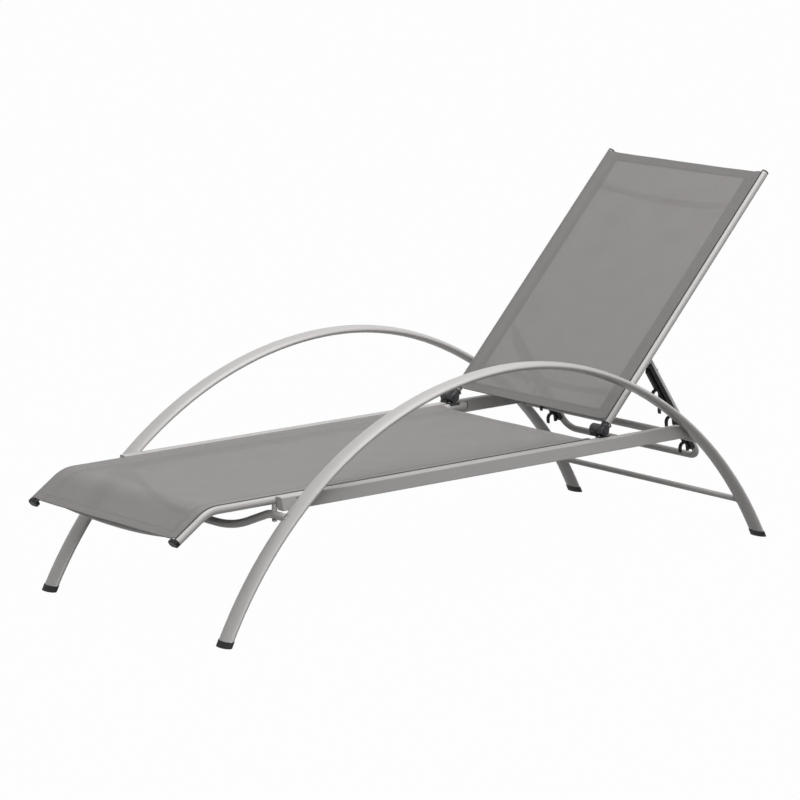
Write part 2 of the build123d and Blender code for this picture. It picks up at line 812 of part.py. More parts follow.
# Hook outlines, drawn from the notch's centre with the opening along x
prong_outline = [
    (0, 0),
    (0, notch_radius + hook_prong),
    (hook_reach, notch_radius + hook_prong),
    (hook_reach, notch_radius + hook_flare),
]
slot_outline = [
    (0, -notch_radius),
    (slot_length, -notch_radius),
    (slot_length, notch_radius + slot_flare),
    (0, notch_radius),
]
rear_prong_outline = [
    (0, -notch_radius),
    (0, -notch_radius - hook_prong),
    (hook_reach, -notch_radius - hook_prong),
    (hook_reach, -notch_radius),
]
front_tip = (hook_reach, notch_radius + hook_prong - prong_tip_radius)
rear_tip = (hook_reach, -notch_radius - hook_prong / 2)
bite_centre = (hook_reach, -notch_radius - hook_prong - rack_bite_radius)


def hook_location(along):
    """Where a hook's own axes lie on the rack."""
    return Location((along, hook_stand_off, 0), (0, 0, hook_turn))


hook_locations = [hook_location(along) for along in hook_places]
for name, side in sides.items():
    arm_line = side * arm_y
    rack_plane = Plane(origin=arm_point(0, 0, arm_line), x_dir=arm_heading, z_dir=(0, 1, 0))
    with BuildPart() as notch_rack:
        with BuildSketch(rack_plane):
            Polygon(*spine_outline, align=None)
            with Locations(hook_locations):
                Circle(notch_radius + hook_prong)
                Polygon(*prong_outline, align=None)
            with Locations(hook_location(last_hook)):
                with Locations(bite_centre):
                    Circle(rack_bite_radius, mode=Mode.SUBTRACT)
                Polygon(*rear_prong_outline, align=None)
            with Locations(hook_locations):
                Circle(notch_radius, mode=Mode.SUBTRACT)
                Polygon(*slot_outline, align=None, mode=Mode.SUBTRACT)
                with Locations(front_tip):
                    Circle(prong_tip_radius)
            with Locations(hook_location(last_hook)):
                with Locations(rear_tip):
                    Circle(hook_prong / 2)
        extrude(amount=hook_plate / 2, both=True)
        with BuildSketch(rack_plane):
            with Locations((rack_start, rack_saddle_start)):
                Rectangle(
                    rack_end - rack_start,
                    rack_saddle_end - rack_saddle_start,
                    align=(Align.MIN, Align.MIN),
                )
        extrude(amount=rack_saddle_width / 2, both=True)
        with BuildSketch(Plane(origin=arm_point(0, 0, arm_line), z_dir=arm_heading)):
            Circle(stand_radius + pin_clearance)
        extrude(amount=stand_length, mode=Mode.SUBTRACT)
        for place in rack_screw_places:
            with BuildSketch(Plane(origin=arm_point(place, 0, arm_line), z_dir=arm_front)):
                Circle(rack_screw_radius + pin_clearance)
            extrude(amount=rack_screw_depth, mode=Mode.SUBTRACT)
    save(notch_rack.part, f"notch_rack_{name}")

with BuildPart() as rack_screws:
    for side in sides.values():
        for place in rack_screw_places:
            seat = arm_point(place, -stand_radius, side * arm_y)
            with BuildSketch(Plane(origin=seat, z_dir=arm_front)):
                Circle(rack_screw_head_radius)
            extrude(amount=-rack_screw_head_height)
            with BuildSketch(Plane(origin=seat, z_dir=arm_front)):
                Circle(rack_screw_radius)
            extrude(amount=stand_radius + rack_screw_depth)
save(rack_screws.part, "rack_screws")

# Slings: one sheet each, its edges tucked into the tracks around the rods
sheet_bottom = rail_radius + seat_gap
tuck_bottom = track_rise + edge_rod_radius + weld_gap


def sling_section():
    """Flat sheet with an edge leg that reaches down into each track."""
    sheet_width = rail_spacing + fabric_thickness
    with Locations((0, sheet_bottom)):
        Rectangle(sheet_width, fabric_thickness, align=(Align.CENTER, Align.MIN))
    with Locations((-rail_y, tuck_bottom), (rail_y, tuck_bottom)):
        Rectangle(fabric_thickness, sheet_bottom - tuck_bottom, align=(Align.CENTER, Align.MIN))


def rod_section():
    """Both edge rods, each in the middle of its track."""
    with Locations((-rail_y, track_rise), (rail_y, track_rise)):
        Circle(edge_rod_radius)


seat_line = seat_path(0, sling_tip_inset, seat_sling_rear_x)
seat_section_plane = across(seat_line @ 0, seat_line % 0)
back_section_plane = across(back_point(back_sling_start, 0, 0), back_heading)
for name, section in {"sling": sling_section, "sling_rods": rod_section}.items():
    with BuildPart() as seat_piece:
        with BuildSketch(seat_section_plane):
            section()
        sweep(path=seat_line)
    save(seat_piece.part, f"seat_{name}")
    with BuildPart() as back_piece:
        with BuildSketch(back_section_plane):
            section()
        extrude(amount=back_sling_end - back_sling_start)
    save(back_piece.part, f"back_{name}")
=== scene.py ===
"""Dresses the sun lounger: slings, welds, screws, finishes, a pale studio and the camera."""

import json
import logging
import math
from dataclasses import dataclass
from enum import Enum
from typing import Any, Callable, Iterable, Sequence

import bmesh
import bpy
import numpy as np
from mathutils import Matrix, Vector
from mathutils.bvhtree import BVHTree


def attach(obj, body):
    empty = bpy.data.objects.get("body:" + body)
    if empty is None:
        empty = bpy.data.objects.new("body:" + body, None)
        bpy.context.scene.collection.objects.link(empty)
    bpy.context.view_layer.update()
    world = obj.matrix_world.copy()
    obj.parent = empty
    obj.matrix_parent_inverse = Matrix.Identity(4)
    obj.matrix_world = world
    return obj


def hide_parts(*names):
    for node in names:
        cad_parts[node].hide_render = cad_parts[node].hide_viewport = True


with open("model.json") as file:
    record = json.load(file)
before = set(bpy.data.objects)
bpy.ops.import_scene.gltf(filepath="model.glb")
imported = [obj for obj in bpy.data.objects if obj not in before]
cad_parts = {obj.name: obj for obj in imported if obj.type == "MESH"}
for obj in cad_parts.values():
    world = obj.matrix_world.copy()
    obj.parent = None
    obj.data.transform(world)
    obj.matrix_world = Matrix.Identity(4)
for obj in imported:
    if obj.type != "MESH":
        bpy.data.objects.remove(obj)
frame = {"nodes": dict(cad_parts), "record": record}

MM = 0.001
UP = Vector((0, 0, 1))
ACROSS = Vector((0, 1, 0))
ORIGIN = (0.0, 0.0, 0.0)
SIDES = (("left", -1), ("right", 1))
Colour = tuple[float, float, float]
Place = tuple[float, float, float]
Chain = tuple[list[Vector], list[Vector], bool]
Socket = bpy.types.NodeSocket
BLACK: Colour = (0.0, 0.0, 0.0)
WHITE: Colour = (1.0, 1.0, 1.0)
BEVEL_SAMPLES = 4

log = logging.getLogger("lounger")


class Body(str, Enum):
    """The bodies of the lounger that move against each other."""

    FRAME = "frame"
    BACKREST = "backrest"
    STAND = "stand"


class Layer(Enum):
    """How many thicknesses of cloth lie at a place."""

    SINGLE = 1.0
    DOUBLE = 2.0


# Node helpers


class NodeNet:
    """A node tree, with short calls to add and join its nodes."""

    prefix = ""

    def __init__(self, tree: bpy.types.NodeTree) -> None:
        """Takes the tree to work on."""
        self.tree = tree

    def add(self, kind: str, inputs: dict[Any, Any] | None = None, **settings: Any) -> bpy.types.Node:
        """Adds a node, sets it up and feeds it.

        Args:
            kind: The node's type, without the prefix of its net.
            inputs: Value or source socket for each input, by name or number.
            **settings: Properties of the node itself.

        Returns:
            The new node.
        """
        node = self.tree.nodes.new(self.prefix + kind)
        for key, value in settings.items():
            setattr(node, key, value)
        for key, value in (inputs or {}).items():
            self.feed(node.inputs[key], value)
        return node

    def feed(self, socket: bpy.types.NodeSocket, value: Any) -> None:
        """Joins a source socket to an input, or sets the input's own value.

        Args:
            socket: The input.
            value: A socket, or a number or colour.
        """
        if isinstance(value, bpy.types.NodeSocket):
            self.tree.links.new(value, socket)
        elif socket.type == "RGBA" and len(value) == 3:
            socket.default_value = (*value, 1.0)
        else:
            socket.default_value = value


class Board(NodeNet):
    """The shading of a material or of the world."""

    prefix = "ShaderNode"

    def __init__(self, owner: bpy.types.ID, output: str = "OutputMaterial") -> None:
        """Empties the owner's tree and gives it an output.

        Args:
            owner: The material or world.
            output: The type of its output.
        """
        owner.use_nodes = True
        super().__init__(owner.node_tree)
        self.owner = owner
        self.tree.nodes.clear()
        self.output = self.add(output)

    @classmethod
    def named(cls, name: str) -> "Board":
        """A board for a new material."""
        return cls(bpy.data.materials.new(name))

    def place(self) -> Socket:
        """The piece's own coordinates, in metres."""
        return self.add("TexCoord").outputs["Object"]

    def math(self, operation: str, first: Any, second: Any = 0.0) -> Socket:
        """One step of arithmetic on numbers or sockets."""
        return self.add("Math", {0: first, 1: second}, operation=operation).outputs[0]

    def times(self, first: Any, second: Any) -> Socket:
        """The product of two numbers or sockets."""
        return self.math("MULTIPLY", first, second)

    def plus(self, first: Any, second: Any) -> Socket:
        """The sum of two numbers or sockets."""
        return self.math("ADD", first, second)

    def noise(self, place: Socket, scale: float, detail: float = 2.0) -> Socket:
        """A cloudy number between 0 and 1, with its blobs in a metre and octaves of finer ones."""
        return self.add("TexNoise", {"Vector": place, "Scale": scale, "Detail": detail}).outputs[0]

    def stretched_noise(self, place: Socket, stretch: Colour, scale: float, detail: float) -> Socket:
        """A cloudy number whose blobs are drawn out along an axis."""
        drawn_out = self.add("Mapping", {"Vector": place, "Scale": stretch}).outputs[0]
        return self.noise(drawn_out, scale, detail)

    def spread(
        self, source: Socket, low: float, high: float, to_low: float = 0.0, to_high: float = 1.0
    ) -> Socket:
        """Stretches a number from the range low to high onto another, held at both ends."""
        return self.add("MapRange", {0: source, 1: low, 2: high, 3: to_low, 4: to_high}).outputs[0]

    def blend(self, share: Any, first: Any, second: Any) -> Socket:
        """Mixes two colours.

        Args:
            share: Share of the second.
            first: First colour.
            second: Second colour.

        Returns:
            The mixed colour's socket.
        """
        node = self.add("Mix", data_type="RGBA")
        for index, value in ((0, share), (6, first), (7, second)):
            self.feed(node.inputs[index], value)
        return node.outputs[2]

    def mix(self, share: Any, first: bpy.types.Node, second: bpy.types.Node) -> bpy.types.Node:
        """Mixes two surfaces by the share of the second."""
        return self.add("MixShader", {0: share, 1: first.outputs[0], 2: second.outputs[0]})

    def bump(self, height: Socket, strength: float, distance: float, edge_radius: float = 0.0) -> Socket:
        """Turns a height into a normal.

        Args:
            height: The height's socket.
            strength: How much of it counts.
            distance: What a height of 1 means, in metres.
            edge_radius: Radius that eases every sharp edge underneath, in metres.

        Returns:
            The normal's socket.
        """
        node = self.add("Bump", {"Height": height, "Strength": strength, "Distance": distance})
        if edge_radius:
            eased = self.add("Bevel", {"Radius": edge_radius}, samples=BEVEL_SAMPLES)
            self.feed(node.inputs["Normal"], eased.outputs[0])
        return node.outputs[0]

    def coat(self, colour: Socket, rough: Socket, normal: Socket, **more: float) -> bpy.types.Node:
        """Makes a surface.

        Args:
            colour: Its colour.
            rough: Its roughness.
            normal: Its normal.
            **more: Other inputs, their names in small letters with an underscore for each space.

        Returns:
            The surface's node.
        """
        node = self.add("BsdfPrincipled", {"Base Color": colour, "Roughness": rough, "Normal": normal})
        sockets = {socket.name.lower().replace(" ", "_"): socket for socket in node.inputs}
        for name, value in more.items():
            self.feed(sockets[name], value)
        return node

    def finish(self, surface: bpy.types.Node) -> Any:
        """Joins the surface to the output and returns the material or world."""
        self.tree.links.new(surface.outputs[0], self.output.inputs["Surface"])
        return self.owner


# Finishes


@dataclass(frozen=True)
class PowderCoat:
    """Satin silver powder coat on tube, with fine flakes and a faint orange peel."""

    name: str = "powder_coat"
    flake_dark: Colour = (0.42, 0.408, 0.4)
    flake_light: Colour = (0.5, 0.487, 0.478)
    flakes: float = 2400.0
    flake_share: float = 0.75
    clouds: float = 9.0
    peel: float = 520.0
    peel_depth: float = 0.05 * MM
    metallic: float = 0.08
    gloss: float = 0.35
    edge_radius: float = 0.9 * MM

    def material(self) -> bpy.types.Material:
        """Builds the shader."""
        board = Board.named(self.name)
        place = board.place()
        flakes = board.noise(place, self.flakes, 3.0)
        clouds = board.noise(place, self.clouds, 3.0)
        share = board.plus(board.times(flakes, self.flake_share), board.times(clouds, 1.0 - self.flake_share))
        colour = board.blend(board.spread(share, 0.3, 0.7), self.flake_dark, self.flake_light)
        rough = board.spread(board.plus(flakes, clouds), 0.7, 1.3, 0.36, 0.46)
        normal = board.bump(board.noise(place, self.peel), 0.12, self.peel_depth, self.edge_radius)
        coat = board.coat(colour, rough, normal, metallic=self.metallic, specular_ior_level=self.gloss)
        return board.finish(coat)


@dataclass(frozen=True)
class MeshTextile:
    """Coated yarn woven open enough to let a little light through, with painted shade on its doubled hems and
    a painted shade band along its rolled edges.
    """

    name: str = "mesh_textile"
    yarn_dark: Colour = (0.215, 0.203, 0.2)
    yarn_light: Colour = (0.295, 0.28, 0.277)
    # Painted shade: how much of its colour a doubled hem keeps when blended toward black.
    hem_shade: float = 0.84
    pitch: float = 1.25 * MM
    relief_depth: float = 0.25 * MM
    open_share: float = 0.15
    glow_share: float = 0.1
    hem_thinness: float = 0.12
    gloss: float = 0.35
    sheen: float = 0.12
    sheen_roughness: float = 0.5
    # Painted shade: near-black colour of the band along the rolled edge, where the cloth turns into the
    # rail's groove.
    edge_painted_shade: Colour = (0.03, 0.03, 0.031)
    edge_shade_start: float = 259.6 * MM
    edge_shade_blur: float = 1.2 * MM
    across_yarns: float = 900.0
    along_yarns: float = 22.0

    def material(self) -> bpy.types.Material:
        """Builds the shader. It reads the cloth's own UV map, in metres, and its layers."""
        board = Board.named(self.name)
        flat = board.add("UVMap", uv_map="Cloth").outputs[0]
        axes = board.add("SeparateXYZ", {0: flat}).outputs
        turn = math.pi / self.pitch
        warp, weft = [board.math("SINE", board.times(axis, turn)) for axis in (axes[0], axes[1])]
        over = board.spread(board.times(warp, weft), -0.35, 0.35)
        warp_top = board.times(board.times(warp, warp), over)
        weft_top = board.times(board.times(weft, weft), board.math("SUBTRACT", 1.0, over))
        relief = board.plus(warp_top, weft_top)
        yarns = board.plus(
            board.stretched_noise(flat, (self.across_yarns, self.along_yarns, 1.0), 1.0, 1.0),
            board.stretched_noise(flat, (self.along_yarns, self.across_yarns, 1.0), 1.0, 1.0),
        )
        tone = board.plus(board.times(relief, 0.45), board.times(yarns, 0.2))
        tone = board.plus(tone, board.times(board.noise(flat, 14.0, 3.0), 0.25))
        colour = board.blend(board.spread(tone, 0.25, 0.8), self.yarn_dark, self.yarn_light)
        layers = board.add("Attribute", attribute_name="layers").outputs["Fac"]
        thicknesses = (Layer.SINGLE.value, Layer.DOUBLE.value)
        # Painted shade: doubled hems are blended toward black, standing in for the backlight that two layers
        # let through less.
        colour = board.blend(board.spread(layers, *thicknesses, 0.0, 1.0 - self.hem_shade), colour, BLACK)
        outward = board.math("ABSOLUTE", axes[0])
        # Painted shade: the cloth turns near-black in a band along its rolled edges, standing in for the
        # shade in the rail's groove.
        edge = board.spread(outward, self.edge_shade_start, self.edge_shade_start + self.edge_shade_blur)
        colour = board.blend(edge, colour, self.edge_painted_shade)
        rough = board.spread(yarns, 0.7, 1.3, 0.5, 0.62)
        normal = board.bump(relief, 0.45, self.relief_depth)
        sheen = {"sheen_weight": self.sheen, "sheen_roughness": self.sheen_roughness}
        cloth = board.coat(colour, rough, normal, specular_ior_level=self.gloss, **sheen)
        thin = board.spread(layers, *thicknesses, 1.0, self.hem_thinness)
        glow = board.add("BsdfTranslucent", {"Color": colour})
        lit = board.mix(board.times(thin, self.glow_share), cloth, glow)
        gaps = board.spread(relief, 0.0, 0.9, 2.0 * self.open_share, 0.25 * self.open_share)
        return board.finish(board.mix(board.times(thin, gaps), lit, board.add("BsdfTransparent")))


@dataclass(frozen=True)
class MouldedPlastic:
    """Moulded plastic with a fine spark-eroded grain, long scuffs and eased edges."""

    name: str
    dark: Colour
    light: Colour
    rough_low: float = 0.34
    rough_high: float = 0.48
    grain: float = 1500.0
    grain_depth: float = 0.06 * MM
    scuff_stretch: Colour = (60.0, 14.0, 60.0)
    gloss: float = 0.3
    edge_radius: float = 0.7 * MM

    def material(self) -> bpy.types.Material:
        """Builds the shader."""
        board = Board.named(self.name)
        place = board.place()
        grain = board.noise(place, self.grain, 3.0)
        scuffs = board.stretched_noise(place, self.scuff_stretch, 4.0, 5.0)
        colour = board.blend(board.spread(scuffs, 0.45, 0.75), self.dark, self.light)
        rough = board.spread(board.plus(grain, scuffs), 0.7, 1.3, self.rough_low, self.rough_high)
        normal = board.bump(grain, 0.3, self.grain_depth, self.edge_radius)
        return board.finish(board.coat(colour, rough, normal, specular_ior_level=self.gloss))


@dataclass(frozen=True)
class FootRubber:
    """Matt black rubber, dusty where it meets the ground."""

    name: str = "foot_rubber"
    black: Colour = (0.009, 0.009, 0.009)
    dusty: Colour = (0.034, 0.032, 0.03)
    specks: float = 700.0
    speck_depth: float = 0.15 * MM
    dust_height: float = 7 * MM
    dust_share: float = 0.55
    gloss: float = 0.4
    edge_radius: float = 1.1 * MM

    def material(self) -> bpy.types.Material:
        """Builds the shader."""
        board = Board.named(self.name)
        place = board.place()
        height = board.add("SeparateXYZ", {0: place}).outputs[2]
        specks = board.noise(place, self.specks, 4.0)
        low = board.spread(height, 0.0, self.dust_height, self.dust_share, 0.0)
        colour = board.blend(board.times(low, specks), self.black, self.dusty)
        rough = board.spread(specks, 0.3, 0.7, 0.62, 0.82)
        normal = board.bump(specks, 0.35, self.speck_depth, self.edge_radius)
        return board.finish(board.coat(colour, rough, normal, specular_ior_level=self.gloss))


@dataclass(frozen=True)
class ZincSteel:
    """Zinc-plated steel with turning marks."""

    name: str = "zinc_steel"
    dark: Colour = (0.2, 0.2, 0.21)
    light: Colour = (0.36, 0.36, 0.37)
    marks: float = 1900.0
    mark_depth: float = 0.04 * MM
    stains: float = 160.0
    metallic: float = 0.9
    edge_radius: float = 0.4 * MM

    def material(self) -> bpy.types.Material:
        """Builds the shader."""
        board = Board.named(self.name)
        place = board.place()
        marks = board.noise(place, self.marks, 4.0)
        stains = board.noise(place, self.stains, 3.0)
        colour = board.blend(board.spread(stains, 0.35, 0.7), self.dark, self.light)
        rough = board.spread(marks, 0.3, 0.7, 0.26, 0.44)
        normal = board.bump(marks, 0.2, self.mark_depth, self.edge_radius)
        return board.finish(board.coat(colour, rough, normal, metallic=self.metallic))


@dataclass(frozen=True)
class SewingThread:
    """Twisted polyester thread, a shade off the cloth."""

    name: str = "sewing_thread"
    dark: Colour = (0.17, 0.163, 0.161)
    light: Colour = (0.26, 0.25, 0.247)
    twists: float = 2600.0
    twist_depth: float = 0.1 * MM

    def material(self) -> bpy.types.Material:
        """Builds the shader."""
        board = Board.named(self.name)
        twist = board.noise(board.place(), self.twists)
        colour = board.blend(board.spread(twist, 0.35, 0.65), self.dark, self.light)
        rough = board.spread(twist, 0.3, 0.7, 0.5, 0.7)
        return board.finish(board.coat(colour, rough, board.bump(twist, 0.5, self.twist_depth)))


# Painted light: the backrest's copy of the same cloth has its yarn colours painted lighter and deeper painted
# shade on its hems, for how light falls on the backrest.
BACK_TEXTILE = MeshTextile("back_textile", (0.23, 0.217, 0.214), (0.315, 0.3, 0.297), hem_shade=0.68)
EDGE_PLASTIC = MouldedPlastic("edge_cord", (0.05, 0.05, 0.052), (0.08, 0.08, 0.083))
HINGE_PLASTIC = MouldedPlastic("hinge_plastic", (0.016, 0.0165, 0.019), (0.034, 0.035, 0.039), gloss=0.42)
BLACK_PLASTIC = MouldedPlastic("black_plastic", (0.006, 0.006, 0.0065), (0.013, 0.013, 0.0135), gloss=0.18)


# Geometry trees for what repeats


class Tree(NodeNet):
    """A geometry node tree with named inputs."""

    def __init__(self, name: str, inputs: dict[str, tuple[str, Any]]) -> None:
        """Makes a tree with its inputs and one geometry output.

        Args:
            name: The tree's name.
            inputs: Socket type, without its "NodeSocket" start, and default value by input name.
        """
        super().__init__(bpy.data.node_groups.new(name, "GeometryNodeTree"))
        self.tree.interface.new_socket("Geometry", in_out="INPUT", socket_type="NodeSocketGeometry")
        self.keys: dict[str, str] = {}
        for label, (kind, default) in inputs.items():
            socket = self.tree.interface.new_socket(label, in_out="INPUT", socket_type="NodeSocket" + kind)
            if default is not None:
                socket.default_value = default
            self.keys[label] = socket.identifier
        self.tree.interface.new_socket("Geometry", in_out="OUTPUT", socket_type="NodeSocketGeometry")
        self.source = self.tree.nodes.new("NodeGroupInput").outputs

    def close(self, geometry: Socket) -> None:
        """Ends the tree in realized instances with the finish set.

        Args:
            geometry: The instances' socket.
        """
        real = self.add("GeometryNodeRealizeInstances", {0: geometry})
        finish = {"Geometry": real.outputs[0], "Material": self.source["Finish"]}
        dressed = self.add("GeometryNodeSetMaterial", finish)
        end = self.tree.nodes.new("NodeGroupOutput")
        self.tree.links.new(dressed.outputs[0], end.inputs[0])

    def run(self, name: str, mesh: bpy.types.Mesh, values: dict[str, Any]) -> bpy.types.Object:
        """Runs the tree on a mesh and keeps the result as a plain mesh.

        Args:
            name: The new piece's name.
            mesh: The points or lines that the tree reads.
            values: Value by input name.

        Returns:
            The new piece.
        """
        carrier = new_object(name + "_guide", mesh)
        modifier = carrier.modifiers.new("tree", "NODES")
        modifier.node_group = self.tree
        for label, value in values.items():
            modifier[self.keys[label]] = value
        bpy.context.view_layer.update()
        seen = carrier.evaluated_get(bpy.context.evaluated_depsgraph_get())
        made = bpy.data.meshes.new_from_object(seen)
        made.name = name
        carrier.modifiers.remove(modifier)
        bpy.data.objects.remove(carrier)
        return new_object(name, made)


def row_tree() -> Tree:
    """Tree that lays copies of an item along lines, each turned to the line and its own up."""
    tree = Tree(
        "row_along_line",
        {
            "Item": ("Object", None),
            "Pitch": ("Float", 4 * MM),
            "Unevenness": ("Float", 0.1),
            "Seed": ("Int", 3),
            "Finish": ("Material", None),
        },
    )
    curve = tree.add("GeometryNodeMeshToCurve", {0: tree.source["Geometry"]})
    spacing = {"Curve": curve.outputs[0], "Length": tree.source["Pitch"]}
    even = tree.add("GeometryNodeResampleCurve", spacing, mode="LENGTH")
    heading = tree.add("GeometryNodeInputTangent")
    upward = tree.add("GeometryNodeInputNamedAttribute", {"Name": "up"}, data_type="FLOAT_VECTOR")
    first = tree.add("FunctionNodeAlignRotationToVector", {"Vector": heading.outputs[0]}, axis="X")
    upright = {"Rotation": first.outputs[0], "Vector": upward.outputs[0]}
    turned = tree.add("FunctionNodeAlignRotationToVector", upright, axis="Z", pivot_axis="X")
    uneven = {0: 1.0, 1: tree.source["Unevenness"]}
    least, most = [tree.add("ShaderNodeMath", uneven, operation=step) for step in ("SUBTRACT", "ADD")]
    scales = {2: least.outputs[0], 3: most.outputs[0], "Seed": tree.source["Seed"]}
    size = tree.add("FunctionNodeRandomValue", scales, data_type="FLOAT")
    item = tree.add("GeometryNodeObjectInfo", {"Object": tree.source["Item"]})
    copies = tree.add(
        "GeometryNodeInstanceOnPoints",
        {
            "Points": even.outputs[0],
            "Instance": item.outputs["Geometry"],
            "Rotation": turned.outputs[0],
            "Scale": size.outputs[1],
        },
    )
    tree.close(copies.outputs[0])
    return tree


def screw_tree() -> Tree:
    """Tree that sets a screw at each point, along the point's axis and turned at random about it."""
    inputs = {"Item": ("Object", None), "Seed": ("Int", 5), "Finish": ("Material", None)}
    tree = Tree("screws_on_points", inputs)
    axis = tree.add("GeometryNodeInputNamedAttribute", {"Name": "axis"}, data_type="FLOAT_VECTOR")
    upright = tree.add("FunctionNodeAlignRotationToVector", {"Vector": axis.outputs[0]}, axis="Z")
    turns = {2: 0.0, 3: math.tau, "Seed": tree.source["Seed"]}
    angle = tree.add("FunctionNodeRandomValue", turns, data_type="FLOAT")
    spin = tree.add("FunctionNodeAxisAngleToRotation", {"Axis": (0.0, 0.0, 1.0), "Angle": angle.outputs[1]})
    both = {"Rotation": upright.outputs[0], "Rotate By": spin.outputs[0]}
    turned = tree.add("FunctionNodeRotateRotation", both, rotation_space="LOCAL")
    item = tree.add("GeometryNodeObjectInfo", {"Object": tree.source["Item"]})
    copies = tree.add(
        "GeometryNodeInstanceOnPoints",
        {
            "Points": tree.source["Geometry"],
            "Instance": item.outputs["Geometry"],
            "Rotation": turned.outputs[0],
        },
    )
    tree.close(copies.outputs[0])
    return tree


# Mesh helpers


def new_object(name: str, data: bpy.types.ID) -> bpy.types.Object:
    """Puts something in the scene as an object at the origin.

    Args:
        name: The object's name.
        data: Its mesh, lamp or camera.

    Returns:
        The object.
    """
    made = bpy.data.objects.new(name, data)
    bpy.context.scene.collection.objects.link(made)
    return made


def plain_mesh(
    name: str, points: Sequence[Any], edges: Sequence[Any] = (), faces: Sequence[Any] = ()
) -> bpy.types.Mesh:
    """A mesh from plain lists.

    Args:
        name: The mesh's name.
        points: Its points.
        edges: Its loose edges.
        faces: Its faces.

    Returns:
        The mesh, smooth where it has faces.
    """
    mesh = bpy.data.meshes.new(name)
    mesh.from_pydata([tuple(p) for p in points], [tuple(e) for e in edges], [tuple(f) for f in faces])
    for polygon in mesh.polygons:
        polygon.use_smooth = True
    return mesh


def give_vectors(mesh: bpy.types.Mesh, name: str, vectors: Iterable[Vector]) -> None:
    """Stores a vector for each point of a mesh, under the attribute's name."""
    values = np.array([tuple(v) for v in vectors], np.float32).ravel()
    mesh.attributes.new(name, "FLOAT_VECTOR", "POINT").data.foreach_set("vector", values)


def chain_mesh(name: str, chains: Sequence[Chain]) -> bpy.types.Mesh:
    """Lines for the row tree.

    Args:
        name: The mesh's name.
        chains: Points, their own ups, and whether the line is closed, for each line.

    Returns:
        A mesh of edges with an "up" attribute.
    """
    points: list[Vector] = []
    ups: list[Vector] = []
    edges: list[tuple[int, int]] = []
    for line, line_ups, closed in chains:
        first = len(points)
        points += line
        ups += line_ups
        edges += [(first + i, first + i + 1) for i in range(len(line) - 1)]
        if closed:
            edges.append((first + len(line) - 1, first))
    mesh = plain_mesh(name, points, edges)
    give_vectors(mesh, "up", ups)
    return mesh


def bead(name: str, length: float, width: float, height: float, around: int, along: int) -> bpy.types.Object:
    """A small closed pebble, used for a stitch or a weld's ripple.

    Args:
        name: Its name.
        length: Along X.
        width: Along Y.
        height: Along Z.
        around: Faces round it.
        along: Rings from pole to pole.

    Returns:
        A hidden object for the trees to copy.
    """
    shape = bmesh.new()
    bmesh.ops.create_uvsphere(shape, u_segments=around, v_segments=along, radius=0.5)
    bmesh.ops.rotate(shape, verts=shape.verts, matrix=Matrix.Rotation(math.pi / 2, 3, "Y"))
    bmesh.ops.scale(shape, vec=(length, width, height), verts=shape.verts)
    return hidden_item(name, shape)


def hidden_item(name: str, shape: bmesh.types.BMesh) -> bpy.types.Object:
    """Turns a bmesh into an object that only the trees read.

    Args:
        name: Its name.
        shape: The bmesh, which is freed.

    Returns:
        The object, outside the scene.
    """
    mesh = bpy.data.meshes.new(name)
    shape.to_mesh(mesh)
    shape.free()
    for polygon in mesh.polygons:
        polygon.use_smooth = True
    return bpy.data.objects.new(name, mesh)


def lathe(shape: bmesh.types.BMesh, profile: Sequence[tuple[float, float]], sides: int) -> list[list[Any]]:
    """Adds rings about Z for a profile, joined by faces.

    Args:
        shape: The bmesh to add to.
        profile: Radius and height of each ring, from the outside in, wound so that faces point out.
        sides: Points in a ring.

    Returns:
        The rings' points.
    """
    rings = []
    for radius, height in profile:
        turns = [math.tau * i / sides for i in range(sides)]
        rings.append([shape.verts.new((radius * math.cos(t), radius * math.sin(t), height)) for t in turns])
    for low, high in zip(rings, rings[1:]):
        for i in range(sides):
            k = (i + 1) % sides
            shape.faces.new((low[i], low[k], high[k], high[i]))
    return rings


# Screws and bolts


class Drive(Enum):
    """The recess or shape of a screw's head, by its number of sides."""

    CROSS = 4
    SOCKET = 6
    HEX_HEAD = -6


@dataclass(frozen=True)
class ScrewSize:
    """Measures of a screw or bolt, in metres."""

    head_radius: float
    head_height: float
    shank_radius: float
    shank_length: float
    drive: Drive


BEAM_SCREW = ScrewSize(2.4 * MM, 1.2 * MM, 1.4 * MM, 4.8 * MM, Drive.CROSS)
HINGE_SCREW = ScrewSize(2.8 * MM, 1.6 * MM, 1.8 * MM, 8.8 * MM, Drive.CROSS)
SOCKET_SCREW = ScrewSize(2.8 * MM, 1.4 * MM, 1.5 * MM, 4.8 * MM, Drive.CROSS)
RACK_SCREW = ScrewSize(3.6 * MM, 1.6 * MM, 2 * MM, 23.5 * MM, Drive.CROSS)
PIVOT_BOLT = ScrewSize(6.5 * MM, 4 * MM, 4 * MM, 34.0 * MM, Drive.SOCKET)
TUBE_BOLT = ScrewSize(6.5 * MM, 5 * MM, 3 * MM, 37 * MM, Drive.HEX_HEAD)

# Rings of a head from its underside to the middle of its top: shares of its radius and height
HEX_HEAD_RINGS = ((0.97, 0.0), (0.97, 0.9), (0.88, 1.0), (0.6, 1.0), (0.55, 0.97))
DOMED_HEAD_RINGS = ((0.96, 0.0), (1.0, 0.25), (0.93, 0.62), (0.75, 0.9), (0.58, 1.0))
RECESS_RINGS = ((0.5, 1.0), (0.46, 0.97), (0.42, 0.35), (0.2, 0.28))


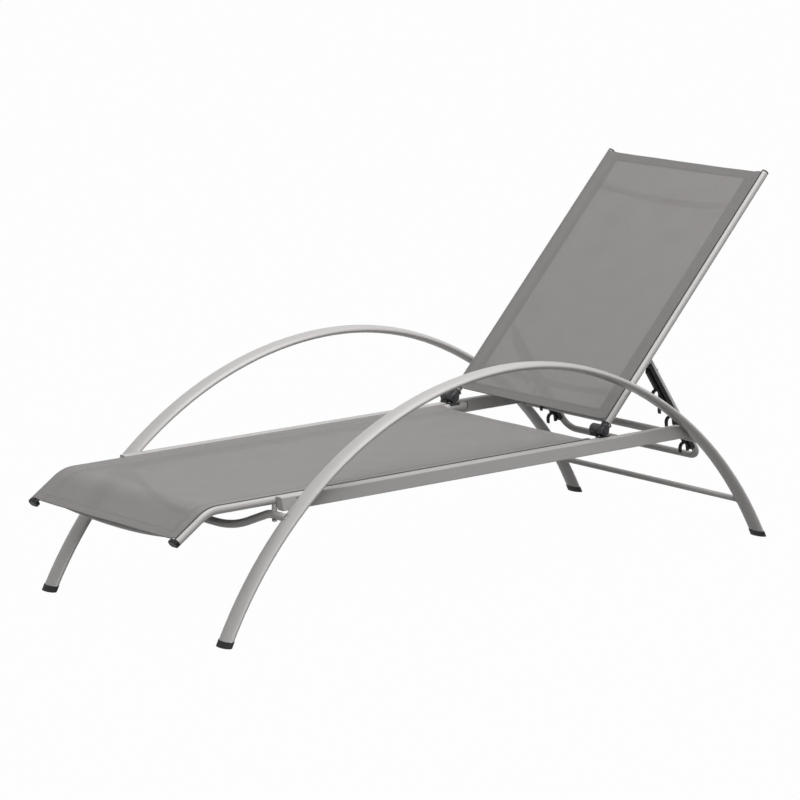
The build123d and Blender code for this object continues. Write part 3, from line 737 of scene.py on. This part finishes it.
class CopiedPart:
    """A small part that is copied onto its seats, each copy with its own Z along the seat's axis."""

    name: str
    node: str
    body: Body
    slot: str
    seats: list[tuple[Vector, Vector]]

    def prototype(self) -> bpy.types.Object:
        """Builds the part once."""
        raise NotImplementedError

    def build(self, tree: Tree, finish: bpy.types.Material) -> None:
        """Sets the copies in place, and replaces their CAD node if they have one.

        Args:
            tree: The screw tree.
            finish: Their material.
        """
        guide = plain_mesh(self.name + "_seats", [seat for seat, _ in self.seats])
        give_vectors(guide, "axis", [axis for _, axis in self.seats])
        piece = tree.run(self.name, guide, {"Item": self.prototype(), "Seed": 5, "Finish": finish})
        if self.node:
            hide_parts(self.node)
        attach(piece, self.body.value)
        log.info("%s: %d copies", self.name, len(self.seats))


@dataclass
class ScrewSet(CopiedPart):
    """A set of like screws with the head's underside on a face, their shanks going into it."""

    node: str
    body: Body
    size: ScrewSize
    seats: list[tuple[Vector, Vector]]
    slot: str = "dark_steel"
    sides: int = 24

    @property
    def name(self) -> str:
        """The piece's name."""
        return self.node + "_detailed"

    def prototype(self) -> bpy.types.Object:
        """Builds one screw, its head up along Z from a face at Z = 0."""
        shape = bmesh.new()
        shank, tip = self.size.shank_radius, -self.size.shank_length
        below = [(shank * 0.7, tip), (shank, tip + shank * 0.4), (shank, 0.0)]
        hexagon = self.size.drive is Drive.HEX_HEAD
        head = HEX_HEAD_RINGS if hexagon else DOMED_HEAD_RINGS + RECESS_RINGS
        above = [(self.size.head_radius * out, self.size.head_height * up) for out, up in head]
        rings = lathe(shape, below + above, self.sides)
        shape.faces.new(list(reversed(rings[0])))
        shape.faces.new(rings[-1])
        if hexagon:
            self.square_off(rings[3:6], 6)
        elif self.size.drive is Drive.SOCKET:
            self.square_off(rings[8:12], 6)
        else:
            self.cross_out(rings[8:12])
        return hidden_item(self.name + "_item", shape)

    @staticmethod
    def square_off(rings: Sequence[Sequence[Any]], sides: int) -> None:
        """Moves rings of points onto a regular polygon.

        Args:
            rings: The rings.
            sides: The polygon's sides.
        """
        step = math.tau / sides
        for ring in rings:
            for vert in ring:
                angle = math.atan2(vert.co.y, vert.co.x)
                off = (angle % step) - step / 2
                pull = math.cos(step / 2) / math.cos(off)
                vert.co.x *= pull
                vert.co.y *= pull

    @staticmethod
    def cross_out(rings: Sequence[Sequence[Any]]) -> None:
        """Pinches rings of points into a cross-shaped recess.

        Args:
            rings: The rings.
        """
        for ring in rings:
            for vert in ring:
                angle = math.atan2(vert.co.y, vert.co.x)
                pull = 0.42 + 0.58 * abs(math.cos(2 * angle)) ** 2.2
                vert.co.x *= pull
                vert.co.y *= pull


@dataclass
class TurnedSet(CopiedPart):
    """Copies of a turned part, each with its own Z along an axis."""

    name: str
    body: Body
    slot: str
    profile: list[tuple[float, float]]
    seats: list[tuple[Vector, Vector]]
    node: str = ""
    closed: bool = False
    sides: int = 48
    teeth: int = 0
    tooth_depth: float = 1.3 * MM
    tooth_width: float = 3.4 * MM

    def prototype(self) -> bpy.types.Object:
        """Turns the profile about Z. A closed profile makes a ring, an open one has both ends capped."""
        shape = bmesh.new()
        rings = lathe(shape, self.profile + self.profile[: int(self.closed)], self.sides)
        if self.closed:
            bmesh.ops.remove_doubles(shape, verts=shape.verts, dist=0.001 * MM)
        else:
            shape.faces.new(list(reversed(rings[0])))
            shape.faces.new(rings[-1])
        for index in range(self.teeth):
            turn = Matrix.Rotation(math.tau * index / self.teeth, 4, "Z")
            self.tooth(shape, turn)
        bmesh.ops.recalc_face_normals(shape, faces=shape.faces)
        return hidden_item(self.name + "_item", shape)

    def tooth(self, shape: bmesh.types.BMesh, turn: Matrix) -> None:
        """Adds one block on the ring's outside.

        Args:
            shape: The bmesh to add to.
            turn: The block's turn about Z.
        """
        radius = max(r for r, _ in self.profile)
        low, high = min(z for _, z in self.profile), max(z for _, z in self.profile)
        made = bmesh.ops.create_cube(shape, size=1.0)["verts"]
        bmesh.ops.scale(shape, vec=(self.tooth_depth, self.tooth_width, high - low), verts=made)
        bmesh.ops.translate(shape, vec=(radius, 0, (low + high) / 2), verts=made)
        bmesh.ops.transform(shape, matrix=turn, verts=made)


# Slings


@dataclass(frozen=True)
class RailLine:
    """Lengthwise line of a sling's rails: two straight stretches joined by a bend."""

    start: tuple[float, float]
    corner: tuple[float, float]
    end: tuple[float, float]
    bend_radius: float = 0.0

    @property
    def turn(self) -> float:
        """Angle of the bend, in radians."""
        return self.heading(self.start, self.corner) - self.heading(self.corner, self.end)

    @staticmethod
    def heading(a: tuple[float, float], b: tuple[float, float]) -> float:
        """Angle above +X from one point to another."""
        return math.atan2(b[1] - a[1], b[0] - a[0])

    @property
    def stretches(self) -> tuple[float, float, float]:
        """Lengths of the first stretch, the bend and the second stretch."""
        cut = self.bend_radius * math.tan(abs(self.turn) / 2)
        return (
            math.dist(self.start, self.corner) - cut,
            self.bend_radius * abs(self.turn),
            math.dist(self.corner, self.end) - cut,
        )

    @property
    def length(self) -> float:
        """Length of the whole line."""
        return sum(self.stretches)

    def at(self, distance: float) -> tuple[Vector, Vector, Vector]:
        """Point, heading and upward normal at a distance from the start.

        Args:
            distance: Metres along the line.

        Returns:
            The three vectors, in the upright middle plane.
        """
        first, bend, _ = self.stretches
        angle = self.heading(self.start, self.corner)
        share = min(max(distance - first, 0.0), bend)
        turned = share / self.bend_radius if self.bend_radius else 0.0
        here = Vector(self.start) + Vector((math.cos(angle), math.sin(angle))) * min(distance, first)
        if share > 0:
            sign = math.copysign(1.0, self.turn)
            centre = here - Vector((-math.sin(angle), math.cos(angle))) * self.bend_radius * sign
            angle -= sign * turned
            here = centre + Vector((-math.sin(angle), math.cos(angle))) * self.bend_radius * sign
        elif distance > first:
            angle = self.heading(self.corner, self.end)
        if distance > first + bend:
            here += Vector((math.cos(angle), math.sin(angle))) * (distance - first - bend)
        heading = Vector((math.cos(angle), 0, math.sin(angle)))
        return Vector((here.x, 0, here.y)), heading, Vector((-heading.z, 0, heading.x))


@dataclass
class Sling:
    """A taut sheet between two rails, its edges rolled into their tracks and its hems sewn."""

    name: str
    node: str
    body: Body
    line: RailLine
    material_slot: str
    rail_y: float = 262 * MM
    lift: float = 9.8 * MM
    thickness: float = 1.0 * MM
    side_hem: float = 44 * MM
    end_hem: float = 24 * MM
    dip: float = 4.2 * MM
    dip_width: float = 26 * MM
    sag: float = 3.0 * MM
    hem_drop: float = 0.9 * MM
    row_spacing: float = 11 * MM
    stitch_pitch: float = 4.2 * MM
    rests_on: tuple[str, ...] = ()

    def columns(self) -> list[tuple[float, float, float]]:
        """Side to side: each column's y, its height over the rails' axes and its place on the flat cloth."""
        edge = self.rail_y
        rolled = ((0.0, 7.9), (0.0, 8.8), (0.15, 9.4), (0.6, 9.72))
        half = [(edge - inset * MM, height * MM) for inset, height in rolled] + [(edge - 1.3 * MM, self.lift)]
        hem = edge - self.side_hem
        inner = [edge - d * MM for d in (3, 5, 7, 9, 11.5, 14, 17, 20, 23, 26, 30, 36)]
        inner += [hem + 0.4 * MM, hem - 0.4 * MM]
        inner += list(np.linspace(hem - 8 * MM, 0, 22))
        half += [(y, self.lift) for y in inner]
        half = sorted(half, key=lambda p: (-p[0], p[1]))
        whole = [(-y, h) for y, h in half] + [(y, h) for y, h in reversed(half[:-1])]
        places = [0.0]
        for a, b in zip(whole, whole[1:]):
            places.append(places[-1] + math.dist(a, b))
        middle = places[-1] / 2
        return [(y, h, u - middle) for (y, h), u in zip(whole, places)]

    def rows(self) -> list[float]:
        """Distances of the rows along the cloth."""
        length = self.line.length
        marks = [0.0, 1.5 * MM, self.end_hem - 0.4 * MM, self.end_hem + 0.4 * MM]
        marks += [length - m for m in marks]
        count = max(2, round(length / self.row_spacing))
        even = [length * i / count for i in range(1, count)]
        marks += [v for v in even if min(abs(v - m) for m in marks) > 3 * MM]
        return sorted(marks)

    def settle(self, y: float, v: float) -> float:
        """How far the cloth lies under the level of its edges.

        Args:
            y: Place across, in metres.
            v: Place along, in metres.

        Returns:
            The drop, in metres.
        """
        inward = self.rail_y - abs(y)
        near = min(1.0, max(0.0, (inward - 6 * MM) / self.dip_width))
        dip = self.dip * near * near * (3 - 2 * near)
        belly = self.sag * (1 - (y / self.rail_y) ** 2)
        ends = min(v, self.line.length - v)
        belly *= 0.55 + 0.45 * min(1.0, ends / 0.25)
        pull = 0.35 * MM * near * math.sin(v * 31 + 2.1 * y * 10) * math.sin(v * 17.3 + 1.1)
        pull += 0.25 * MM * near * math.sin(y * 43 + v * 9.7)
        return dip + belly + pull

    def point(self, y: float, lift: float, v: float, drop: float = 0.0) -> Vector:
        """A point of the cloth's middle face: across, over the rails' axes, along and sewn underneath."""
        centre, _, normal = self.line.at(v)
        return centre + ACROSS * y + normal * (lift - self.settle(y, v) - drop)

    def layers(self, y: float, v: float) -> float:
        """Thicknesses of cloth at a place."""
        in_side = self.rail_y - abs(y) < self.side_hem
        in_end = min(v, self.line.length - v) < self.end_hem
        return (Layer.DOUBLE if in_side or in_end else Layer.SINGLE).value

    def cloth_mesh(self, name: str, keep: Callable[[float, float], bool], drop: float) -> bpy.types.Mesh:
        """The cloth, or a part of it, as one face with a UV map in metres.

        Args:
            name: The mesh's name.
            keep: Says for a face's middle, across and along, if it stays.
            drop: Extra depth under the cloth.

        Returns:
            The mesh.
        """
        columns, rows = self.columns(), self.rows()
        grid = [(y, h, u, v) for v in rows for y, h, u in columns]
        points = [self.point(y, h, v, drop) for y, h, _, v in grid]
        wide = len(columns)
        faces = []
        for r in range(len(rows) - 1):
            for c in range(wide - 1):
                y = (columns[c][0] + columns[c + 1][0]) / 2
                v = (rows[r] + rows[r + 1]) / 2
                if keep(y, v):
                    first = r * wide + c
                    faces.append((first, first + wide, first + wide + 1, first + 1))
        mesh = plain_mesh(name, points, (), faces)
        flat = mesh.uv_layers.new(name="Cloth")
        for loop in mesh.loops:
            _, _, u, v = grid[loop.vertex_index]
            flat.data[loop.index].uv = (u, v)
        values = np.array([self.layers(y, v) for y, _, _, v in grid], np.float32)
        mesh.attributes.new("layers", "FLOAT", "POINT").data.foreach_set("value", values)
        self.drop_loose(mesh)
        return mesh

    @staticmethod
    def drop_loose(mesh: bpy.types.Mesh) -> None:
        """Deletes points that no face uses."""
        shape = bmesh.new()
        shape.from_mesh(mesh)
        bmesh.ops.delete(shape, geom=[v for v in shape.verts if not v.link_faces], context="VERTS")
        shape.to_mesh(mesh)
        shape.free()

    def thicken(self, piece: bpy.types.Object, thickness: float) -> None:
        """Gives a single face of cloth its thickness, half to each side.

        Args:
            piece: The piece.
            thickness: In metres.
        """
        shell = piece.modifiers.new("thickness", "SOLIDIFY")
        shell.thickness = thickness
        shell.offset = 0.0
        shell.use_rim = True

    def stitch_lines(self) -> list[Chain]:
        """Lines of sewing along the hems, on the upper face."""
        length = self.line.length
        top = -(self.thickness / 2 + 0.12 * MM)
        chains = []
        inset = self.side_hem - 4 * MM
        for sign in (-1, 1):
            for extra in (0.0, 5 * MM):
                y = sign * (self.rail_y - inset + extra)
                stops = np.arange(self.end_hem * 0.25, length - self.end_hem * 0.25, 6 * MM)
                chains.append(self.chain([(y, float(v)) for v in stops], top))
        for v in (self.end_hem - 4 * MM, length - self.end_hem + 4 * MM):
            stops = np.arange(-self.rail_y + 10 * MM, self.rail_y - 10 * MM, 6 * MM)
            chains.append(self.chain([(float(y), v) for y in stops], top))
        return chains

    def chain(self, places: Sequence[tuple[float, float]], drop: float) -> Chain:
        """An open line over the cloth.

        Args:
            places: Across and along of each point.
            drop: Depth under the cloth's middle face.

        Returns:
            Points, ups and False, as chain_mesh reads them.
        """
        points = [self.point(y, self.lift, v, drop) for y, v in places]
        ups = [self.line.at(v)[2] for _, v in places]
        return points, ups, False

    def build(self, rows: Tree, cloth: bpy.types.Material, thread: bpy.types.Material) -> None:
        """Makes the cloth, its hems and its sewing, in place of the plain sheet.

        Args:
            rows: The row tree.
            cloth: The cloth's material.
            thread: The sewing's material.
        """
        sheet = new_object(self.name, self.cloth_mesh(self.name, lambda y, v: True, 0.0))
        sheet.data.materials.append(cloth)
        self.thicken(sheet, self.thickness)
        doubled = Layer.DOUBLE.value
        hem_mesh = self.cloth_mesh(
            self.name + "_hems",
            lambda y, v: self.layers(y, v) == doubled and self.rail_y - abs(y) > 3 * MM,
            self.hem_drop,
        )
        hems = new_object(self.name + "_hems", hem_mesh)
        hems.data.materials.append(cloth)
        self.thicken(hems, self.thickness * 0.7)
        stitch = bead("stitch", self.stitch_pitch * 0.8, 0.7 * MM, 0.55 * MM, 6, 4)
        sewing = rows.run(
            self.name + "_sewing",
            chain_mesh(self.name + "_seams", self.stitch_lines()),
            {"Item": stitch, "Pitch": self.stitch_pitch, "Unevenness": 0.08, "Seed": 11, "Finish": thread},
        )
        for piece in (sheet, hems, sewing):
            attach(piece, self.body.value)
        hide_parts(self.node)
        columns = self.columns()
        width = columns[-1][2] - columns[0][2]
        self.line.length
        log.info("%s: %.3f x %.3f m", self.name, width, self.line.length)


# Welds


@dataclass
class WeldSeam:
    """Where the end of a round tube meets a bigger one."""

    tube_end: Vector
    outward: Vector
    tube_radius: float
    target: str

    def ring(self, trees: dict[str, BVHTree], steps: int = 40) -> Chain:
        """Finds the seam by casting lines along the tube's wall onto the other tube.

        Args:
            trees: Search tree of each CAD node, made as they are needed.
            steps: Points round the seam.

        Returns:
            Points, ups and True, as chain_mesh reads them.
        """
        if self.target not in trees:
            mesh = frame["nodes"][self.target].data
            faces = [polygon.vertices for polygon in mesh.polygons]
            trees[self.target] = BVHTree.FromPolygons([vertex.co for vertex in mesh.vertices], faces)
        outward = self.outward.normalized()
        side = outward.cross(UP)
        side = side.normalized() if side.length > 0.1 else Vector((1, 0, 0))
        other = outward.cross(side).normalized()
        points, ups = [], []
        for i in range(steps):
            angle = math.tau * i / steps
            spoke = side * math.cos(angle) + other * math.sin(angle)
            start = self.tube_end + spoke * self.tube_radius - outward * 40 * MM
            hit, normal, _, distance = trees[self.target].ray_cast(start, outward, 80 * MM)
            if hit is not None:
                points.append(hit + spoke * 0.3 * MM - outward * 0.3 * MM)
                ups.append((spoke - outward).normalized())
        return points, ups, True


@dataclass
class Welds:
    """Every welded seam on one body, as rows of ripples."""

    name: str
    body: Body
    seams: list[WeldSeam]
    ripple: float = 1.5 * MM

    def build(self, rows: Tree, finish: bpy.types.Material, trees: dict[str, BVHTree]) -> None:
        """Lays the ripples.

        Args:
            rows: The row tree.
            finish: The coat that covers them.
            trees: Search trees of the CAD nodes.
        """
        chains = [seam.ring(trees) for seam in self.seams]
        chains = [chain for chain in chains if len(chain[0]) > 12]
        item = bead("ripple", self.ripple * 2.1, 3.0 * MM, 2.2 * MM, 8, 5)
        piece = rows.run(
            self.name,
            chain_mesh(self.name + "_lines", chains),
            {"Item": item, "Pitch": self.ripple, "Unevenness": 0.12, "Seed": 23, "Finish": finish},
        )
        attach(piece, self.body.value)
        log.info("%s: %d of %d seams", self.name, len(chains), len(self.seams))


# The lounger


def on_side(place: Place, sign: int) -> Vector:
    """A place given in millimetres for the right side, put on either side, in metres."""
    return Vector((place[0], sign * place[1], place[2])) * MM


@dataclass
class Lounger:
    """The whole lounger: it places slings, welds and screws, and dresses every CAD node."""

    rail_y: float = 262 * MM
    rail_radius: float = 9 * MM
    hinge: tuple[float, float] = (351.4 * MM, 305.5 * MM)
    back_angle: float = 46.9
    stand_angle: float = -55.8
    stand_pivot: tuple[float, float] = (509.424 * MM, 468.514 * MM)
    arm_y: float = 230 * MM
    drop_angle: float = 33.5
    seat_tip: Place = (-875.6, 0, 222)
    seat_level: float = 281 * MM
    seat_end: float = 313.4 * MM
    seat_inset: float = 10.5 * MM
    drop_height: float = 59 * MM
    drop_bend: float = 80 * MM
    back_stretch: tuple[float, ...] = (25.5, 400, 751)
    front_tube_end: Place = (-608.5, 292, 248)
    rear_tube_end: Place = (621.5, 292, 255)
    brace_end: Place = (755.9, 295, 92)
    front_bow_end: Place = (-846.5, 253, 238.8)
    front_bow_sag: float = 30
    back_bow_sag: float = 34
    back_bow_reaches: tuple[float, ...] = (657, 108)
    tube_radius: float = 9 * MM
    brace_radius: float = 7 * MM
    bow_radius: float = 8 * MM
    cross_bolt: Place = (-608.5, 262, 238.8)
    beam_screw: tuple[float, float, float] = (-570.6 * MM, 291.2 * MM, 286.5 * MM)
    hinge_base_top: float = 292.5 * MM
    hinge_base_screws: tuple[float, ...] = (-10.4, 10.4)
    socket_half_width: float = 11.2 * MM
    socket_screw_reach: float = 15.7 * MM
    pivot_reach: float = 227 * MM
    pivot_drop: float = 4 * MM
    pivot_head_y: float = 221.7 * MM
    rack_screws: tuple[float, ...] = (66, 269.1)
    rack_screw_depth: float = 8 * MM
    collar_reach: float = 16.6 * MM

    def along(self, angle: float) -> Vector:
        """Direction in the upright lengthwise plane, by its angle over +X."""
        turn = math.radians(angle)
        return Vector((math.cos(turn), 0, math.sin(turn)))

    def back_point(self, reach: float, lift: float, y: float) -> Vector:
        """Point on the backrest, by its way up from the hinge, off the rails' plane and across."""
        base = Vector((self.hinge[0], y, self.hinge[1]))
        return base + self.along(self.back_angle) * reach + self.along(self.back_angle + 90) * lift

    def arm_point(self, reach: float, front: float, y: float) -> Vector:
        """Point by a stand arm, by its way along from the pivot, off the arm's front and across."""
        base = Vector((self.stand_pivot[0], y, self.stand_pivot[1]))
        return base + self.along(self.stand_angle) * reach + self.along(self.stand_angle - 90) * front

    def seat_sling(self) -> Sling:
        """The seat's sling, over the drop at the foot end."""
        tip = Vector(tuple(v * MM for v in self.seat_tip))
        start = tip + self.along(self.drop_angle) * self.seat_inset
        corner = tip.x + self.drop_height / math.tan(math.radians(self.drop_angle))
        level = self.seat_level
        line = RailLine((start.x, start.z), (corner, level), (self.seat_end, level), self.drop_bend)
        rails = ("seat_rail_left", "seat_rail_right")
        return Sling("seat_sling_cloth", "seat_sling", Body.FRAME, line, "seat_textile", rests_on=rails)

    def back_sling(self) -> Sling:
        """The backrest's sling."""
        ends = [self.back_point(reach * MM, 0, 0) for reach in self.back_stretch]
        line = RailLine(*[(p.x, p.z) for p in ends])
        rails = ("back_rail_left", "back_rail_right")
        return Sling("back_sling_cloth", "back_sling", Body.BACKREST, line, "back_textile", rests_on=rails)

    def frame_seams(self) -> list[WeldSeam]:
        """Seams of the frame's cross tubes and foot-end bow."""
        tubes = (
            (self.front_tube_end, self.tube_radius),
            (self.rear_tube_end, self.tube_radius),
            (self.brace_end, self.brace_radius),
        )
        seams = []
        for side, sign in SIDES:
            out = Vector((0, sign, 0))
            seams += [WeldSeam(on_side(end, sign), out, radius, "arch_tube_" + side) for end, radius in tubes]
            bow_out = self.bow_end(self.front_bow_sag, sign, self.along(self.drop_angle + 90))
            rail = "seat_rail_" + side
            seams.append(WeldSeam(on_side(self.front_bow_end, sign), bow_out, self.bow_radius, rail))
        return seams

    def bow_end(self, sag: float, sign: int, upward: Vector) -> Vector:
        """Direction in which a bow runs into its rail.

        Args:
            sag: The bow's sag, in millimetres.
            sign: -1 on the left, 1 on the right.
            upward: Normal of the rails' plane.

        Returns:
            The direction, outwards.
        """
        half = self.rail_y / MM
        radius = (half**2 + sag**2) / (2 * sag)
        slope = half / math.sqrt(radius**2 - half**2)
        return (ACROSS * sign + upward * slope).normalized()

    def back_seams(self) -> list[WeldSeam]:
        """Seams of the backrest's bows."""
        seams = []
        normal = self.along(self.back_angle + 90)
        for reach in self.back_bow_reaches:
            for side, sign in SIDES:
                out = self.bow_end(self.back_bow_sag, sign, normal)
                end = self.back_point(reach * MM, 0, sign * self.rail_y) - out * self.rail_radius
                seams.append(WeldSeam(end, out, self.bow_radius, "back_rail_" + side))
        return seams

    def screw_sets(self) -> list[ScrewSet]:
        """Every set of screws and bolts, with its seats."""
        signs = (-1, 1)
        beam_x, beam_y, beam_z = self.beam_screw
        beam = [(Vector((beam_x, s * beam_y, beam_z)), Vector((0, s, 0))) for s in signs]
        base = [
            (Vector((self.hinge[0] + d * MM, s * self.rail_y, self.hinge_base_top)), UP.copy())
            for s in signs
            for d in self.hinge_base_screws
        ]
        socket_y = self.rail_y + self.socket_half_width
        reach = self.socket_screw_reach
        socket = [(self.back_point(reach, 0, s * socket_y), Vector((0, s, 0))) for s in signs]
        pivot = [
            (self.back_point(self.pivot_reach, -self.pivot_drop, s * self.pivot_head_y), Vector((0, -s, 0)))
            for s in signs
        ]
        tube = [(on_side(self.cross_bolt, s), -UP) for s in signs]
        rack_back = -self.along(self.stand_angle - 90)
        rack = [
            (self.arm_point(d * MM, -self.rack_screw_depth, s * self.arm_y), rack_back)
            for s in signs
            for d in self.rack_screws
        ]
        return [
            ScrewSet("beam_screws", Body.FRAME, BEAM_SCREW, beam),
            ScrewSet("hinge_base_screws", Body.FRAME, HINGE_SCREW, base),
            ScrewSet("socket_screws", Body.BACKREST, SOCKET_SCREW, socket),
            ScrewSet("stand_pivot_bolts", Body.BACKREST, PIVOT_BOLT, pivot),
            ScrewSet("cross_tube_bolts", Body.FRAME, TUBE_BOLT, tube),
            ScrewSet("rack_screws", Body.STAND, RACK_SCREW, rack),
        ]

    def hinge_parts(self) -> list[TurnedSet]:
        """Pins with their covers, ribs round the knuckles and the notched collars of the sockets."""
        x, z = self.hinge
        head, tail = -11.5 * MM, 34.2 * MM
        shank = [(3.4 * MM, tail), (4.0 * MM, tail - 0.6 * MM), (4.0 * MM, head), (7.2 * MM, head)]
        cover = ((7.6, 0.5), (7.6, 1.4), (7.2, 1.8), (6.3, 1.8), (5.9, 1.1), (2.6, 1.1), (2.2, 1.4))
        pin = shank + [(radius * MM, head - out * MM) for radius, out in cover]
        rib = [(12.1 * MM, -0.7 * MM), (12.8 * MM, -0.45 * MM), (12.8 * MM, 0.45 * MM), (12.1 * MM, 0.7 * MM)]
        steps = ((10.6, 0.0), (11.9, 0.3), (11.9, 2.6), (11.2, 3.0), (10.6, 3.0))
        collar = [(radius * MM, height * MM) for radius, height in steps]
        lines = [Vector((x, s * self.rail_y, z)) for s in (-1, 1)]
        pins = [(line, ACROSS) for line in lines]
        inner = [(line + ACROSS * y * MM, ACROSS) for line in lines for y in (-7.8, -3.9, 3.9, 7.8)]
        outer = [(line + ACROSS * y * MM, ACROSS) for line in lines for y in (15.0, 19.0, 23.0, 27.0, 31.0)]
        upward = self.along(self.back_angle)
        mouths = [(self.back_point(self.collar_reach, 0, line.y), upward) for line in lines]
        plastic = "hinge_plastic"
        return [
            TurnedSet("hinge_pins_with_covers", Body.FRAME, "dark_steel", pin, pins, node="hinge_pins"),
            TurnedSet("back_knuckle_ribs", Body.BACKREST, plastic, rib, inner, closed=True),
            TurnedSet("seat_knuckle_ribs", Body.FRAME, plastic, rib, outer, closed=True),
            TurnedSet("socket_collars", Body.BACKREST, plastic, collar, mouths, closed=True, teeth=8),
        ]

    def dress(self, finishes: dict[str, bpy.types.Material]) -> None:
        """Gives each CAD node that still shows the material of its slot.

        Args:
            finishes: Material by the record's slot name.
        """
        slots = {part["node"]: part["material_slot"] for part in frame["record"]["subparts"]}
        for name, node in frame["nodes"].items():
            if node.hide_render:
                continue
            node.data.materials.clear()
            node.data.materials.append(finishes[slots[name]])

    def build(self) -> None:
        """Builds and dresses everything."""
        seat_cloth = MeshTextile("seat_textile").material()
        back_cloth = BACK_TEXTILE.material()
        finishes = {
            "frame_silver": PowderCoat().material(),
            "edge_cord": EDGE_PLASTIC.material(),
            "hinge_plastic": HINGE_PLASTIC.material(),
            "black_plastic": BLACK_PLASTIC.material(),
            "foot_rubber": FootRubber().material(),
            "dark_steel": ZincSteel().material(),
        }
        thread = SewingThread().material()
        rows, screws = row_tree(), screw_tree()
        for sling, cloth in ((self.seat_sling(), seat_cloth), (self.back_sling(), back_cloth)):
            sling.build(rows, cloth, thread)
        trees: dict[str, BVHTree] = {}
        Welds("frame_welds", Body.FRAME, self.frame_seams()).build(rows, finishes["frame_silver"], trees)
        Welds("backrest_welds", Body.BACKREST, self.back_seams()).build(rows, finishes["frame_silver"], trees)
        for screw_set in self.screw_sets():
            screw_set.build(screws, finishes["dark_steel"])
        for part in self.hinge_parts():
            part.build(screws, finishes["hinge_plastic"])
        self.dress(finishes)


# Studio


@dataclass
class Studio:
    """Pale floor, soft light from above and the photograph's camera."""

    azimuth: float = -40.22
    elevation: float = 11.08
    distance: float = 8.389
    target: Place = (-0.0364, 0.0, 0.3862)
    focal_pixels: float = 3682.0
    picture_pixels: float = 800.0
    sensor: float = 36.0
    nearest: float = 0.1
    farthest: float = 200.0
    ambient: float = 0.13
    floor_size: float = 60.0
    floor_white: float = 0.985
    floor_grey: float = 0.08

    @staticmethod
    def hang(name: str, data: bpy.types.ID, place: Vector, heading: Vector) -> bpy.types.Object:
        """Puts a lamp or camera in the scene.

        Args:
            name: Its name.
            data: The lamp's or camera's own settings.
            place: Where it hangs.
            heading: The way it looks.

        Returns:
            The object.
        """
        held = new_object(name, data)
        held.location = place
        held.rotation_mode = "QUATERNION"
        held.rotation_quaternion = heading.to_track_quat("-Z", "Y")
        return held

    def camera(self) -> None:
        """Sets the camera where the photograph was taken from."""
        lens = bpy.data.cameras.new("photo_camera")
        lens.sensor_width = self.sensor
        lens.lens = self.focal_pixels / self.picture_pixels * self.sensor
        lens.clip_start, lens.clip_end = self.nearest, self.farthest
        turn, tilt = math.radians(self.azimuth), math.radians(self.elevation)
        back = Vector((math.sin(turn) * math.cos(tilt), -math.cos(turn) * math.cos(tilt), math.sin(tilt)))
        camera = self.hang("photo_camera", lens, Vector(self.target) + back * self.distance, -back)
        bpy.context.scene.camera = camera

    def lamp(self, name: str, kind: str, energy: float, place: Place, aim: Place, **breadth: float) -> None:
        """Adds a soft lamp.

        Args:
            name: Its name.
            kind: SUN for a broad sun, AREA for a square panel.
            energy: Its strength, in watts for a panel.
            place: Where it hangs.
            aim: The point it looks at.
            **breadth: The sun's angle, in radians, or the panel's size, in metres.
        """
        light = bpy.data.lights.new(name, kind)
        light.energy = energy
        for key, value in breadth.items():
            setattr(light, key, value)
        self.hang(name, light, Vector(place), Vector(aim) - Vector(place))

    @staticmethod
    def seen_by_eye(board: Board) -> Socket:
        """1 for rays from the camera, from gloss and through clear stuff, else 0."""
        path = board.add("LightPath").outputs
        result = path["Is Camera Ray"]
        for name in ("Is Glossy Ray", "Is Transmission Ray"):
            result = board.math("MAXIMUM", result, path[name])
        return result

    def world(self) -> None:
        """Even pale light all round, white to the eye."""
        board = Board(bpy.data.worlds.new("studio"), "OutputWorld")
        light = board.add("Background", {"Color": WHITE, "Strength": self.ambient})
        white = board.add("Background", {"Color": WHITE, "Strength": 1.0})
        bpy.context.scene.world = board.finish(board.mix(self.seen_by_eye(board), light, white))

    def floor(self) -> None:
        """A wide pale floor that keeps the lounger's soft shadow."""
        half = self.floor_size / 2
        corners = [(-half, -half, 0), (half, -half, 0), (half, half, 0), (-half, half, 0)]
        floor = new_object("floor", plain_mesh("floor", corners, (), [(0, 1, 2, 3)]))
        board = Board.named("pale_floor")
        matt = board.add("BsdfDiffuse", {"Color": (self.floor_grey,) * 3})
        white = board.add("Emission", {"Color": WHITE, "Strength": 1.0})
        share = board.times(self.seen_by_eye(board), self.floor_white)
        floor.data.materials.append(board.finish(board.mix(share, matt, white)))

    def build(self) -> None:
        """Builds the studio."""
        self.camera()
        self.world()
        self.floor()
        self.lamp("overhead", "AREA", 68.0, place=(0.2, -0.6, 3.4), aim=(0.1, 0.0, 0.3), size=3.2)
        self.lamp("key", "SUN", 1.0, place=ORIGIN, aim=(-0.1, 0.3, -0.9), angle=math.radians(35.0))
        self.lamp("fill", "SUN", 1.25, place=ORIGIN, aim=(0.5, 0.72, -0.5), angle=math.radians(40.0))
        bpy.context.scene.view_settings.view_transform = "Standard"


def main() -> None:
    """Builds the lounger and its studio."""
    logging.basicConfig(level=logging.INFO, format="%(name)s: %(message)s")
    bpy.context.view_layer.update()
    Lounger().build()
    Studio().build()
    bpy.context.view_layer.update()


if __name__ == "__main__":
    main()
